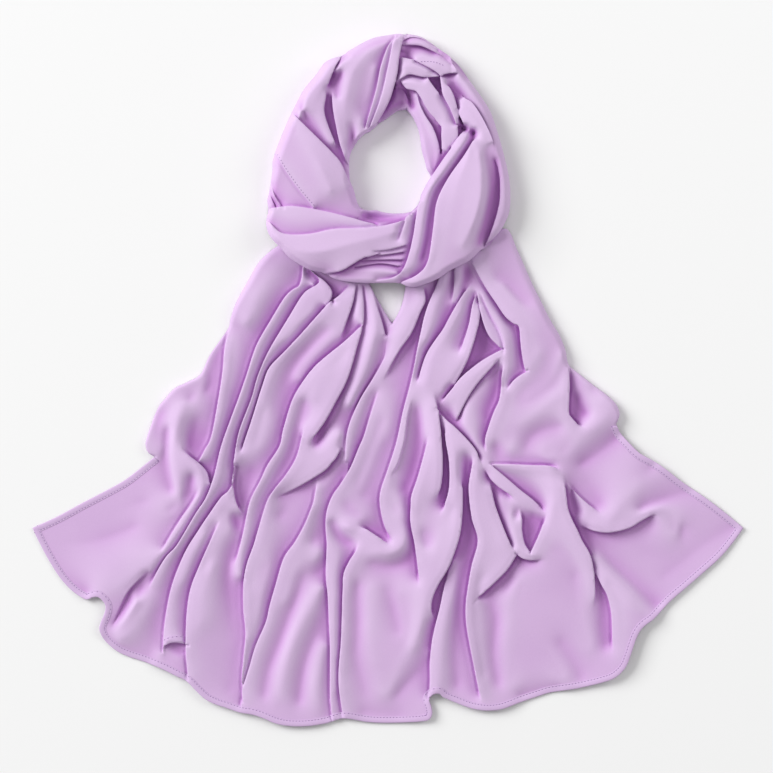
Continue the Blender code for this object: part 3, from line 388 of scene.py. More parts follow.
LOOP_FOLDS = [
    # left side: outer lobe, second lobe and the recess between them
    crest((24, 28, 33, 35, 35, 34), [(394, 39), (372, 47), (348, 62), (322, 84), (303, 112), (293, 136)]),
    crest((34, 35, 34), [(335, 70), (318, 95), (312, 112)]),
    edge("west", (32, 34, 34, 33), (28, 22, 21, 24), [(347, 52), (338, 63), (331, 78), (327, 89)]),
    edge("west", (33, 33, 32, 31), (26, 23, 22, 24), [(327, 93), (324, 111), (328, 127), (336, 146)]),
    edge("east", (30, 32, 32, 31, 28), (25, 22, 22, 22, 22), [
        (332, 95), (334, 112), (337, 128), (341, 146), (348, 166)]),
    crest((27, 32, 35, 34, 31, 28), [(388, 43), (368, 54), (354, 72), (347, 95), (344, 118), (346, 142)]),
    trough((24, 26, 27), [(342, 72), (337, 88), (338, 100)]),
    trough((31, 28, 25), [(376, 66), (370, 92), (362, 112)]),
    trough((27, 19, 18), [(352, 124), (353, 137), (351, 152)]),
    crest((28, 27), [(361, 120), (359, 138)]),
    # bundle of narrow pleats beside it
    edge("east", (27, 31, 32, 31, 28), (23, 25, 25, 25, 22), [
        (395, 38), (388, 48), (381, 68), (376, 92), (366, 127)]),
    edge("east", (28, 33, 33, 31, 28), (25, 28, 28, 27, 22), [
        (399, 38), (393, 45), (388, 68), (381, 98), (370, 128)]),
    edge("west", (28, 33, 33, 32, 29, 25), (24, 24, 18, 10, 9, 8), [
        (403, 41), (399, 57), (397, 73), (394, 86), (388, 104), (375, 127)]),
    # the lobe that crosses the lower left, with a stitched long edge on it
    trough((31, 27, 26, 27), [(301, 103), (305, 117), (312, 129), (324, 142)]),
    edge("south", (34, 36, 37, 36, 34, 31), (32, 28, 27, 25, 24, 22), [
        (293, 114), (305, 127), (319, 141), (331, 153), (341, 165), (350, 186)]),
    crest((35, 37, 38, 36), [(298, 130), (310, 148), (322, 170), (332, 194)]),
    edge("east", (33, 34, 34, 33), 31, [(276, 155), (288, 175), (301, 193), (314, 209)]),
    edge("west", (26, 27, 26), (24, 23, 23), [(272, 184), (275, 196), (283, 208)]),
    edge("west", (23, 24, 24), (21, 20, 20), [(270, 191), (272, 199), (276, 208)]),
    # crossing at the front: upper strip and main strip
    edge("south", (31, 33, 34, 34, 33, 33), (25, 28, 29, 28, 22, 15), [
        (272, 209), (293, 207), (320, 211), (345, 217), (363, 222.5), (376, 225.5)]),
    edge("south", (33, 37, 39, 39, 38, 37, 36, 35, 34), (29, 32, 33, 33, 32, 28, 14, 14, 15), [
        (269, 222), (283, 234), (308, 235), (334, 230), (362, 229), (380, 227.5), (394, 224.5), (403, 221.5),
        (410, 217)]),
    crest((38, 41, 42, 41, 39, 37), [(276, 238), (300, 252), (325, 252), (350, 245), (375, 239), (398, 232)]),
    edge("north", (29, 35, 37, 37, 36), (24, 23, 23, 25, 28), [
        (324, 274), (341, 271), (352, 265), (364, 258), (378, 254)]),
    crest((24, 28, 30, 30, 28), [(338, 277), (356, 271), (376, 271), (396, 274), (412, 279)]),
    edge("north", (36, 36, 35), (33, 31, 29), [(372, 252), (390, 250), (408, 245)]),
    edge("north", (33, 33, 32), (29, 27, 26), [(368, 257), (386, 255), (406, 252)]),
    edge("north", 30, (26, 24, 24), [(362, 261), (384, 260), (405, 260)]),
    edge("north", 28, (24, 23, 22), [(352, 268), (380, 264), (402, 267)]),
    edge("east", (32, 36, 36, 33), (24, 29, 31, 32), [(412, 214), (406, 221), (402, 232), (398, 243)]),
    # right side: first strip, valley and main lobe
    edge("east", (31, 34, 35, 36, 37, 37, 36, 34, 30, 28), (20, 22, 22, 20, 22, 29, 27, 25, 25, 26), [
        (463, 132), (453, 147), (441, 164), (428, 184), (419, 204), (414, 234), (409, 256), (402, 272),
        (391, 278.5), (376, 281)]),
    crest((32, 36, 38, 38, 38, 37, 34), [
        (468, 134), (459, 149), (444, 170), (429, 194), (422, 222), (417, 250), (408, 270)]),
    trough((22, 26, 28, 29, 30, 29, 27), [
        (474, 138), (464, 154), (450, 174), (436, 190), (430, 212), (427, 238), (421, 262)]),
    edge("east", (34, 36, 38, 40, 41, 39, 35, 29), (22, 27, 29, 30, 30, 29, 27, 24), [
        (475, 139), (464, 157), (448, 180), (437, 203), (433, 232), (428, 262), (418, 275), (400, 283)]),
    crest((38, 40, 41, 41, 39, 37), [(471, 146), (463, 170), (454, 198), (448, 226), (441, 248), (430, 268)]),
    crest((38, 41, 42, 41, 39), [(478, 152), (481, 174), (480, 200), (473, 224), (461, 248)]),
    trough((30, 27, 22, 20, 20, 18), [
        (489, 150), (492, 168), (494, 188), (491, 208), (487, 228), (483, 243)]),
    # outer stretch
    edge("east", (25, 27, 28, 28, 27, 25), (23, 21, 19, 18, 17, 15), [
        (495, 161), (498, 170), (500, 184), (499, 206), (491, 233), (484, 247)]),
    crest((22, 24, 26, 28, 29, 28, 26), [
        (430, 50), (450, 66), (470, 92), (486, 122), (500, 158), (506, 192), (500, 224)]),
    # pleats at the top right
    edge("north", (23, 24, 24, 23, 21), (19, 18, 18, 17, 16), [
        (403, 42), (410, 38.5), (420, 39.5), (431, 45.5), (443, 54), (456, 65), (468, 80)]),
    crest((24, 25, 25, 24), [(411, 42.5), (423, 43.5), (436, 50), (450, 59.5)]),
    edge("north", (23, 25, 25, 24, 22), (21, 17, 16, 17, 19), [
        (403, 46.5), (411, 46), (421, 46.8), (432, 51.5), (445, 59), (454, 66)]),
    trough((17, 19), [(401, 53), (409, 56)]),
    crest((26, 28, 27), [(421, 57), (436, 64), (449, 70)]),
    edge("south", 29, (19, 22), [(402, 59.5), (413, 61.5)]),
    edge("north", (28, 29, 29, 27), (25, 24, 23, 16), [(414, 61.5), (421, 65), (432, 70.5), (441, 76)]),
    edge("north", (27, 27, 26), (15, 15, 18), [(441, 76), (449, 74), (455, 74)]),
    crest((31, 32, 31), [(403, 69), (414, 67), (430, 74)]),
    edge("north", (30, 31, 30, 29), (25, 23, 22, 13), [
        (396, 83), (403, 78.5), (410, 75.5), (424, 78), (438.5, 77.5)]),
    # dark hollow, and the strips on both sides of it
    edge("west", (29, 30, 30), (14, 10, 18), [(427, 79.5), (434, 89.5), (440.5, 97.5)]),
    edge("east", (28, 31, 32, 32, 31), (14, 10, 23, 25, 24), [
        (440.4, 78), (441.7, 88), (443.5, 97), (450, 110), (456.5, 126)]),
    crest((30, 31, 31, 30, 29), [(404, 84), (416, 85), (427, 93), (437, 106), (446, 122)]),
    edge("east", (26, 29, 30, 30, 29, 28, 27), (18, 15, 20, 23, 23, 23, 23), [
        (401.5, 83), (407, 89.5), (416, 92), (421, 99), (425, 107), (430.5, 115), (436, 120.5), (441, 126)]),
    crest((30, 31, 31), [(444.5, 86), (449, 97), (455, 112)]),
    edge("west", (29, 31, 31, 30), (19, 17, 18, 16), [
        (445.7, 84.8), (451.6, 94), (455.6, 106), (458.5, 122)]),
    trough((18, 17, 18), [(452, 84), (458, 92), (463, 99)]),
    crest((30, 32, 33), [(461, 107), (468, 117), (474, 128)]),
    edge("east", (29, 31, 31), (17, 14, 8), [(457.5, 112), (462, 121), (464, 127)]),
    edge("west", (28, 31, 33, 34, 33), (23, 20, 19, 20, 26), [
        (461, 101), (469, 107.5), (477, 119.5), (484.5, 134), (489, 144)]),
    trough((8, 6), [(462.5, 128), (465, 130.5)]),
    trough((8, 5), [(472.5, 131), (474.5, 136)]),
    # inner strips at the neck opening
    crest((14, 16, 14), [(398, 88), (404, 98), (410, 110)]),
    trough((6, 5, 7), [(404.5, 92.5), (409, 98), (412.5, 108)]),
    crest((21, 22, 24, 25, 24), [(415, 98), (419, 116), (428, 137), (434, 155), (433, 172)]),
    edge("west", (24, 26, 27, 27, 26), (22, 21, 19, 17, 17), [
        (417, 95), (420, 106), (425, 117), (432, 128.5), (437, 141.5), (440, 156)]),
    edge("east", (27, 29, 30, 29), (22, 19, 18, 18), [(436, 121), (441.3, 127), (441.7, 138), (442.4, 154)]),
    crest((30, 30, 29), [(447, 128), (449, 140), (447, 152)]),
    edge("west", (30, 30, 29), (20, 18, 18), [(456.5, 127), (457, 137), (452, 147)]),
    # cloth behind the opening, and inside the front crossing
    crest((10, 12, 11), [(381, 122), (391, 110), (402, 105)]),
    crest((8, 9, 13, 14, 12), [(366, 217), (378, 220), (392, 219), (403, 215), (412, 210)]),
]

# ----------------------------------------------------------------------------------------------------
# Outlines
# ----------------------------------------------------------------------------------------------------

# Where the cloth rolls over and down: (x, y, height in mm that it comes down to, rounding in plan steps)
RIMS = dict(
    tail_left_side=[
        (290, 240, 4, 6), (276, 246, 2, 8), (259, 261, 0.5, 9), (247, 281, 0.5, 9), (236, 301, 0.5, 8),
        (230, 318, 0.5, 7), (228, 328, 0.5, 5), (220, 340, 0.5, 4), (209, 356, 0.5, 4), (200, 374, 0.5, 5),
        (186, 382, 0.5, 5), (174, 388, 0.5, 5), (164, 399, 0.5, 5), (158, 407, 0.5, 5), (152, 421, 0.5, 5),
        (147, 435, 0.5, 4), (145, 445, 0.5, 3), (148, 453, 0.5, 3), (155, 457, 0.5, 3)],
    gap_left=[(364, 262, 4, 4), (372, 287, 2, 4), (382, 306, 0.8, 4), (392, 323, 0.8, 3)],
    gap_right=[(392, 323, 0.8, 3), (400, 307, 0.8, 5), (404, 290, 2, 5), (407, 264, 4, 4)],
    tail_right_side=[
        (497, 228, 4, 6), (509, 230, 2, 8), (518, 250, 0.5, 9), (526, 268, 0.5, 10), (533, 284, 0.5, 10),
        (541, 300, 0.5, 10), (551, 320, 0.5, 10), (560, 335, 0.5, 10), (566, 350, 0.5, 9), (569, 364, 0.5, 7),
        (578, 372, 0.5, 5), (593, 384, 0.5, 6), (604, 392, 0.5, 7), (615, 402, 0.5, 7), (620, 412, 0.5, 6),
        (619, 419, 0.5, 4), (616, 425, 0.5, 3)],
    loop_left_outside=[
        (406, 34.5, 1, 14), (398, 34, 1, 14), (390, 35, 1, 16), (371, 39, 1, 18), (349, 51, 1, 18),
        (344, 55, 1, 18), (326, 62, 1, 18), (316, 75, 1, 18), (303, 91, 1, 18), (292, 112, 1, 18),
        (281, 137, 1, 18), (273, 159, 1, 18), (272, 172, 1, 16), (269, 191, 1, 14), (267, 200, 1, 13),
        (268, 211, 2, 13)],
    loop_front_outside=[
        (268, 211, 2, 13), (266, 224, 5, 12), (269, 235, 9, 12), (275, 243, 12, 11), (281, 249, 13, 11),
        (289, 258, 13, 11), (301, 266, 13, 10), (311, 271, 13, 9), (324, 274, 13, 9), (335, 280, 13, 9),
        (350, 283, 13, 9), (365, 284, 13, 9), (384, 284, 13, 9), (398, 284, 13, 9), (411, 288, 13, 10),
        (425, 285, 13, 11), (439, 279, 13, 12), (449, 272, 13, 12), (461, 266, 13, 13), (470, 261, 13, 13),
        (483, 249, 12, 13)],
    loop_outer_outside=[
        (483, 249, 12, 13), (496, 237, 9, 13), (504, 226, 5, 13), (510, 210, 2, 14), (510, 184, 1, 14),
        (505, 159, 1, 14), (499, 137, 1, 14), (491, 113, 1, 14), (482, 98, 1, 13), (472, 84, 1, 12),
        (463, 70, 1, 12), (453, 59, 1, 12), (437, 47, 1, 11), (423, 37.5, 1, 11), (411, 34.5, 1, 12),
        (406, 34.5, 1, 14)],
    hole_left=[
        (370, 132, 1, 6), (360.5, 139.5, 1, 8), (351.6, 153.8, 1, 10), (350, 166, 1, 13), (350.7, 179, 1, 14),
        (354.3, 190, 1, 14), (358, 203, 1, 13), (362, 208.5, 1, 9)],
    hole_front=[
        (362, 208.5, 1, 6), (368, 210, 1, 5), (376, 209.8, 1, 5), (384.6, 212, 1, 5), (397, 213, 1, 5),
        (411, 211, 1, 5), (419, 202, 1, 6)],
    hole_right=[
        (419, 202, 1, 8), (423, 190, 1, 9), (429.5, 178, 1, 9), (426, 170, 1, 9), (424, 162, 1, 9),
        (421, 151, 1, 9), (418.6, 135, 1, 9), (414, 122, 1, 8), (406, 110, 1, 6)],
    hole_back=[
        (406, 110, 1, 4), (397, 112.7, 1, 4), (388, 119, 1, 4), (378, 125.6, 1, 4), (370, 132, 1, 5)],
)

# Where one stretch passes over the next, which runs on beneath it: "high" is the side of the one on top
SEAMS = dict(
    between_tails=dict(high="east", points=[
        (392, 323), (387, 334), (385, 343), (384, 354), (380, 365), (372, 380), (364, 393), (358, 404),
        (351, 420), (346, 438), (345, 452), (345, 466), (343, 479), (339, 486), (333, 495), (328, 507),
        (326, 518), (326, 530), (327, 545), (326, 574), (328, 597), (329, 621), (330, 644), (330, 668),
        (330, 695), (332, 721)]),
    bundle_over_outer=dict(high="west", points=[(406, 35), (403.5, 41), (402, 47)]),
    bundle=dict(high="west", points=[(402, 47), (399, 57), (397, 73), (394, 86)]),
    bundle_over_back=dict(high="west", points=[(394, 86), (388, 104), (380, 119), (372, 130)]),
    wrap_over_back=dict(high="east", points=[(394, 86), (402, 95), (405, 103), (406, 110)]),
    outer_over_top=dict(high="north", points=[
        (402, 47), (411, 46), (421, 46.8), (432, 51.5), (445, 59), (452, 65)]),
    outer_over_wrap=dict(high="east", points=[
        (452, 65), (454, 78), (457, 91), (461, 101), (469, 107.5), (477, 119.5), (484.5, 134), (490, 147),
        (493.5, 156), (498, 168), (500, 184), (500, 198), (496, 217), (491, 233), (484, 248)]),
    wrap_over_left=dict(high="south", points=[
        (268, 210), (280, 207), (293, 207), (307, 209), (320, 211), (332, 213), (345, 217), (356, 220)]),
    left_over_front=dict(high="west", points=[(362, 208), (359, 214), (356, 220)]),
    wrap_over_front=dict(high="south", points=[
        (356, 220), (365, 224), (375, 226), (384, 226), (394, 223), (404, 219.5), (412, 214), (417.5, 208),
        (419, 202)]),
)

# Cut edges with a turned hem: (x, y)
HEM_LINES = dict(
    hem_left_side=[(155, 457), (140, 469), (124, 481), (104, 492), (81, 504), (57, 517), (33, 528)],
    hem_left_end=[
        (33, 528), (38, 539), (48, 558), (60, 577), (73, 591), (86, 599), (93, 597), (99, 597), (105, 603),
        (106, 609), (104, 616), (101, 623), (100, 630), (105, 640), (116, 650), (128, 656), (146, 662),
        (163, 669), (177, 676), (187, 681), (197, 691), (206, 699), (216, 704), (225, 707), (240, 712),
        (252, 714), (264, 718), (276, 723), (290, 725.5), (308, 725.5), (325, 723), (332, 721)],
    hem_right_end=[
        (332, 721), (338, 719), (347, 718), (367, 721.5), (385, 722.5), (404, 722), (420, 721), (429, 719),
        (432, 713), (431, 706), (429, 699), (433, 694), (439, 693), (444, 697), (458, 703), (472, 708),
        (487, 710), (502, 708.5), (520, 702), (538, 696), (551, 692), (577, 688), (602, 682), (615, 677),
        (625, 667), (630, 655), (635, 640), (640, 630), (646, 624), (654, 618), (670, 601), (685, 588),
        (700, 575), (719, 558), (732, 543), (743, 528)],
    hem_right_side=[
        (743, 528), (725, 513), (708, 500), (692, 489), (679, 480), (665, 469), (653, 461), (639, 453),
        (627, 441), (620, 433), (616, 425)],
)

# The hem goes on over a roll of the cloth, up on the panel: (x, y)
CURLED_HEMS = dict(hem_left_end=[(167, 644), (171, 642.2), (176, 641.4), (180, 641.4), (184, 642)])

# Rows of stitches that show on the loop, where the long edge of the cloth comes up: (x, y)
LOOP_STITCHES = [
    dict(node="loop_left", inward="east", line=[(277, 157), (288, 175), (301, 193), (313, 207)]),
    dict(node="loop_wrap", inward="south", line=[(415, 62.5), (424, 61.5), (434, 62), (443, 65)]),
]


# ----------------------------------------------------------------------------------------------------
# Lines and grids on the plan
# ----------------------------------------------------------------------------------------------------

COMPASS = {"east": (1.0, 0.0), "west": (-1.0, 0.0), "north": (0.0, -1.0), "south": (0.0, 1.0)}
LINE_SPACING = 0.4  # plan steps between the points of a smoothed line
EDGE_HALF_WIDTH = 0.9  # plan steps from the middle of an edge to its top, and to its foot
SHORTEST = 1e-9  # the least length that anything is divided by
LAST_CELL = 1.001  # cells that a sample stays away from the far sides of a grid
BLUR_REACH = 3  # a blur ends after so many times its radius
BATCH = 4000  # points that are measured against a line at a time


def smooth_line(points, spacing=LINE_SPACING):
    """A Catmull-Rom curve through the points, and how far along them each place on it is, from 0 to 1."""
    points = np.array(points, float)
    before = np.vstack([2 * points[0] - points[1], points[:-1]])
    after = np.vstack([points[1:], 2 * points[-1] - points[-2]])
    pieces, shares = [], []
    for i in range(len(points) - 1):
        a, b = points[i], points[i + 1]
        count = max(2, int(np.hypot(*(b - a)[:2]) / spacing))
        t = np.linspace(0, 1, count, endpoint=False)[:, None]
        slope_a, slope_b = (b - before[i]) / 2, (after[i + 1] - a) / 2
        pieces.append((2 * t**3 - 3 * t**2 + 1) * a + (t**3 - 2 * t**2 + t) * slope_a
                      + (3 * t**2 - 2 * t**3) * b + (t**3 - t**2) * slope_b)
        shares.append((i + t[:, 0]) / (len(points) - 1))
    return np.vstack(pieces + [points[-1:]]), np.append(np.hstack(shares), 1.0)


def plan_line(points):
    """The same curve, only its places on the plan."""
    return smooth_line(points)[0][:, :2]


def along(levels, shares):
    """One level, or several spread evenly along a line, at the given shares of its length."""
    levels = np.atleast_1d(levels)
    return np.interp(shares, np.linspace(0, 1, len(levels)), levels)


def path_length(line):
    """How far along a line each of its points is, in plan steps."""
    return np.append(0, np.hypot(*np.diff(line, axis=0).T).cumsum())


def from_ends(line, fade):
    """For each point of a line, how far it is from the nearer end, up to 1 for "fade" plan steps."""
    path = path_length(line)
    return np.clip(np.minimum(path, path[-1] - path) / fade, 0, 1)


def across_to(line, high):
    """The directions across a line, one at each of its points, towards the side that a compass word names."""
    heading = np.gradient(line, axis=0)
    across = np.stack([heading[:, 1], -heading[:, 0]], 1)
    across /= np.maximum(np.linalg.norm(across, axis=1), SHORTEST)[:, None]
    return -across if across.mean(0) @ np.array(COMPASS[high]) < 0 else across


def beside(line, high, distance):
    """The line moved towards its high side, or away from it where the distance is negative."""
    return line + across_to(line, high) * distance


def nearest(points, line):
    """For each point, the number of the nearest point of a line and the distance to it."""
    index, distance = np.zeros(len(points), int), np.zeros(len(points))
    for start in range(0, len(points), BATCH):
        some = points[start:start + BATCH]
        square = ((some[:, None, :] - line[None, :, :2]) ** 2).sum(2)
        best = square.argmin(1)
        index[start:start + BATCH] = best
        distance[start:start + BATCH] = np.sqrt(square[np.arange(len(some)), best])
    return index, distance


class Grid:
    """Cells of the plan between two corners, each of one size."""

    def __init__(self, low, high, cell):
        self.low, self.cell = np.array(low, float), cell
        self.shape = tuple(int(math.ceil((high[k] - low[k]) / cell)) + 1 for k in (1, 0))

    def cells(self, points):
        place = np.rint((np.asarray(points)[:, :2] - self.low) / self.cell).astype(int)
        keep = (place >= 0).all(1) & (place[:, 0] < self.shape[1]) & (place[:, 1] < self.shape[0])
        return place[:, 1], place[:, 0], keep

    def centres(self):
        rows, columns = np.mgrid[0:self.shape[0], 0:self.shape[1]]
        return self.low[0] + columns * self.cell, self.low[1] + rows * self.cell

    def sample(self, field, points):
        place = (np.asarray(points)[:, :2] - self.low) / self.cell
        x = np.clip(place[:, 0], 0, self.shape[1] - LAST_CELL)
        y = np.clip(place[:, 1], 0, self.shape[0] - LAST_CELL)
        i, j = y.astype(int), x.astype(int)
        v, u = y - i, x - j
        return ((1 - v) * ((1 - u) * field[i, j] + u * field[i, j + 1])
                + v * ((1 - u) * field[i + 1, j] + u * field[i + 1, j + 1]))


def distance_within(grid, line, reach):
    """For each cell, how far the line is, up to "reach", and the number of the nearest of its points."""
    distance = np.full(grid.shape, float(reach))
    index = np.zeros(grid.shape, int)
    xs, ys = grid.centres()
    size = int(math.ceil(reach / grid.cell)) + 1
    rows, columns, _ = grid.cells(line)
    for number, (row, column) in enumerate(zip(rows, columns)):
        window = (slice(max(row - size, 0), max(row + size + 1, 0)),
                  slice(max(column - size, 0), max(column + size + 1, 0)))
        away = np.hypot(xs[window] - line[number, 0], ys[window] - line[number, 1])
        nearer = away < distance[window]
        distance[window][nearer] = away[nearer]
        index[window][nearer] = number
    return distance, index


def near_line(grid, line, reach):
    """The rows and columns of the cells within reach of a line, and the distance and number of its nearest
    point to each."""
    low, high = line.min(0)[:2] - reach, line.max(0)[:2] + reach
    first = np.clip(np.floor((low - grid.low) / grid.cell).astype(int), 0, None)
    last = np.ceil((high - grid.low) / grid.cell).astype(int)
    window = Grid(grid.low + first * grid.cell, grid.low + last * grid.cell, grid.cell)
    distance, index = distance_within(window, line, reach)
    rows, columns = np.nonzero(distance < reach)
    inside = (rows + first[1] < grid.shape[0]) & (columns + first[0] < grid.shape[1])
    rows, columns = rows[inside], columns[inside]
    return rows + first[1], columns + first[0], distance[rows, columns], index[rows, columns]


def blocks(field, size):
    """The sums of a field over blocks of cells."""
    rows, columns = (-(-n // size) * size for n in field.shape)
    padded = np.zeros((rows, columns))
    padded[:field.shape[0], :field.shape[1]] = field
    return padded.reshape(rows // size, size, columns // size, size).sum((1, 3))


def enlarge(field, shape):
    rows = np.linspace(0, field.shape[0] - 1, shape[0])
    columns = np.linspace(0, field.shape[1] - 1, shape[1])
    i = np.minimum(rows.astype(int), field.shape[0] - 2)
    j = np.minimum(columns.astype(int), field.shape[1] - 2)
    v, u = (rows - i)[:, None], (columns - j)[None, :]
    upper = field[i][:, j] * (1 - u) + field[i][:, j + 1] * u
    lower = field[i + 1][:, j] * (1 - u) + field[i + 1][:, j + 1] * u
    return upper * (1 - v) + lower * v


def blurred(field, radius):
    reach = int(BLUR_REACH * radius) + 1
    weights = np.exp(-0.5 * (np.arange(-reach, reach + 1) / radius) ** 2)
    weights /= weights.sum()
    framed = np.pad(field, reach, mode="edge")
    rows, columns = field.shape
    down = sum(w * framed[i:i + rows] for i, w in enumerate(weights))
    return sum(w * down[:, i:i + columns] for i, w in enumerate(weights))


# ----------------------------------------------------------------------------------------------------
# Relief: a height for each point of the plan, drawn through the fold lines
# ----------------------------------------------------------------------------------------------------

# How a line holds the cloth
FIRM = 40.0  # how much more than its neighbours a line counts
SETTLING = {16: 80, 8: 60, 4: 40, 2: 24, 1: 16}  # cells along a block, and rounds of settling on such blocks
LOOSE_GRIP = 1e-4  # what is left of the grip of a line where it ends on open cloth
LOOSE_GAP = 9.0  # plan steps from the border of the cloth, within which it keeps its grip
MEETING_GAP = 2.5  # plan steps from another edge, within which it keeps it too
ROUND_CREST = 0.85  # 1 gives round crests over sharp troughs, 0 gives both alike

# What an edge does beside itself
FULL_RISE = 9.0  # mm from foot to top, from which an edge overlaps in full
GRIP_POWER = 0.25  # a crease fades with this power of the grip of its edge
CREASE_WIDTH = 1.5  # plan steps that a crease reaches to each side
CREASE_END = 0.02  # the groove ends where its bell curve is down to this
OVERLAP = 1.6  # plan steps that the top of an edge is pushed out, and its foot in
BELL_SLOPE = 0.43  # the most that x * exp(-x * x) comes to
GROOVE = 2.0  # mm
DEEPEST = 0.6  # the most of the height that a groove takes away
CRISP_WIDTH = 3.0  # plan steps beside an edge that stay crisp
CRISP_REACH = 3 * CRISP_WIDTH
CRISP_BLUR = 0.45  # blur of the relief beside an edge, in plan steps


class Marks:
    """Values that some cells of a grid are held to, each by its own grip."""

    def __init__(self, grid):
        self.grid = grid
        self.total = np.zeros(grid.shape)
        self.weight = np.zeros(grid.shape)

    def put(self, points, values, grip):
        rows, columns, keep = self.grid.cells(points)
        values = np.broadcast_to(values, len(rows))
        np.add.at(self.total, (rows[keep], columns[keep]), (values * grip)[keep])
        np.add.at(self.weight, (rows[keep], columns[keep]), grip[keep])


def average_of_neighbours(field):
    framed = np.pad(field, 1, mode="edge")
    return (framed[:-2, 1:-1] + framed[2:, 1:-1] + framed[1:-1, :-2] + framed[1:-1, 2:]) / 4


def spread(marks):
    """A field that is drawn to the marks and passes evenly between them."""
    field = None
    for size, rounds in SETTLING.items():
        weight = blocks(marks.weight, size)
        total = blocks(marks.total, size)
        if field is None:
            field = np.full(weight.shape, total.sum() / weight.sum())
        else:
            field = enlarge(field, weight.shape)
        for _ in range(rounds):
            field = (FIRM * total + average_of_neighbours(field)) / (FIRM * weight + 1)
    return field


def is_loose(end, border, others):
    """Whether the end of a fold line lies on open cloth."""
    from_border = np.hypot(*(border - end).T).min()
    from_others = np.hypot(*(others - end).T).min()
    return from_border > LOOSE_GAP and from_others > MEETING_GAP


def grip_along(line, border, others, fading):
    """How firmly each point of a fold line holds the cloth: fully, but for its loose ends, where it fades in
    over so many plan steps."""
    path = path_length(line)
    from_loose = np.full(len(path), fading)
    for end, distance in ((line[0], path), (line[-1], path[-1] - path)):
        if is_loose(end, border, others):
            from_loose = np.minimum(from_loose, distance)
    return LOOSE_GRIP ** (1 - np.clip(from_loose / min(fading, 0.5 * path[-1]), 0, 1))


class Creases:
    """What the edges of the folds do beside themselves: a groove at the foot, the top pushed out over it."""

    def __init__(self, grid):
        self.grid = grid
        self.groove = np.zeros(grid.shape)
        self.crisp = np.zeros(grid.shape)
        self.shift = np.zeros((*grid.shape, 2))

    def add(self, line, low, rise, grip):
        rows, columns, distance, index = near_line(self.grid, line, CRISP_REACH)
        hold = grip ** GRIP_POWER
        strength = (np.clip(rise / FULL_RISE, 0, 1) * hold)[index]
        down = ((low - line) / EDGE_HALF_WIDTH)[index]
        places = self.grid.low + np.stack([columns, rows], 1) * self.grid.cell
        side = ((places - line[index]) * down).sum(1)
        bell = np.exp(-(distance / CREASE_WIDTH) ** 2)
        pushed = OVERLAP * strength * side / CREASE_WIDTH * bell / BELL_SLOPE
        self.shift[rows, columns] -= down * pushed[:, None]
        from_foot = (side - EDGE_HALF_WIDTH) / CREASE_WIDTH
        sunk = GROOVE * strength * np.exp(-from_foot ** 2) * (bell > CREASE_END)
        self.groove[rows, columns] = np.maximum(self.groove[rows, columns], sunk)
        crisp = np.exp(-(distance / CRISP_WIDTH) ** 2) * np.sqrt(hold)[index]
        self.crisp[rows, columns] = np.maximum(self.crisp[rows, columns], crisp)


def between_feet_and_tops(grid, folds, border, fading):
    """How far up from foot to top each cell lies, the heights of the tops and the feet, and the creases."""
    share, tops, feet = Marks(grid), Marks(grid), Marks(grid)
    creases = Creases(grid)
    edges = [plan_line(fold["points"]) if fold["kind"] == "edge" else np.zeros((0, 2)) for fold in folds]
    for number, fold in enumerate(folds):
        line, shares = smooth_line(fold["points"])
        grip = grip_along(line, border, np.vstack(edges[:number] + edges[number + 1:]), fading)
        high = low = line
        if fold["kind"] == "edge":
            high = beside(line, fold["high"], EDGE_HALF_WIDTH)
            low = beside(line, fold["high"], -EDGE_HALF_WIDTH)
        if fold["kind"] != "trough":
            share.put(high, 1.0, grip)
            tops.put(high, along(fold["top"], shares), grip)
        if fold["kind"] != "crest":
            share.put(low, 0.0, grip)
            feet.put(low, along(fold["foot"], shares), grip)
        if fold["kind"] == "edge":
            creases.add(line, low, along(fold["top"], shares) - along(fold["foot"], shares), grip)
    return spread(share), spread(tops), spread(feet), creases


def folded(grid, folds, border, fading, soft_blur):
    """Heights in mm over a grid, rounded between the crests, troughs and edges, and the sideways shifts of
    its points, in plan steps."""
    between, top, foot, creases = between_feet_and_tops(grid, folds, border, fading)
    round_crests = np.sin(np.pi / 2 * between)
    round_both = 0.5 - 0.5 * np.cos(np.pi * between)
    height = foot + (top - foot) * (ROUND_CREST * round_crests + (1 - ROUND_CREST) * round_both)
    soft = blurred(height, soft_blur / grid.cell)
    crisp = blurred(height, CRISP_BLUR / grid.cell)
    height = soft + (crisp - soft) * creases.crisp
    return height - np.minimum(creases.groove, DEEPEST * height), creases.shift


# ----------------------------------------------------------------------------------------------------
# Form: the relief brought down to the rims, with the painted shade of its hollows and its sideways shifts
# ----------------------------------------------------------------------------------------------------

CELL = 0.5  # cells of the reliefs, in plan steps
RIM_HEIGHT, RIM_ROUNDING = 2, 3  # columns of a smoothed rim
RIM_SPACING = 0.5  # plan steps between the points of a rim
ON_RIM = 1.0  # plan steps from a rim, within which a point counts as part of it
RIM_STILL = 3.0  # plan steps from the rims, within which the sideways shifts fade
LOWEST = 1.0  # mm
WIDE_CELLS = 4  # the height all around a fold is worked out on every fourth cell
WIDE_BLUR = 12.0  # plan steps that it reaches
PAINTED_SHADE_DEPTH = 7.5  # mm below the height all around that make the full painted shade of a hollow
PAINTED_SHADE_START = 0.22  # how much painted shade level cloth gets, as a share of that of a full hollow
PAINTED_SHADE_RIM = 7.0  # plan steps from the rims, within which the painted shade of the hollows fades
PRESSED_DEPTH, PRESSED_SHARE = 12.0, 0.35  # how far under the loop the tails are pressed flat, and how much
TURN_SHARE = 0.08  # plan steps that the foot of a rim turns in under the cloth, for each mm of its height
TURN_START, TURN_REACH = 0.8, 1.6  # plan steps in from a rim, where that starts, and half of its reach
TURN_FADE = 6.0  # plan steps over which it fades at the ends of a rim


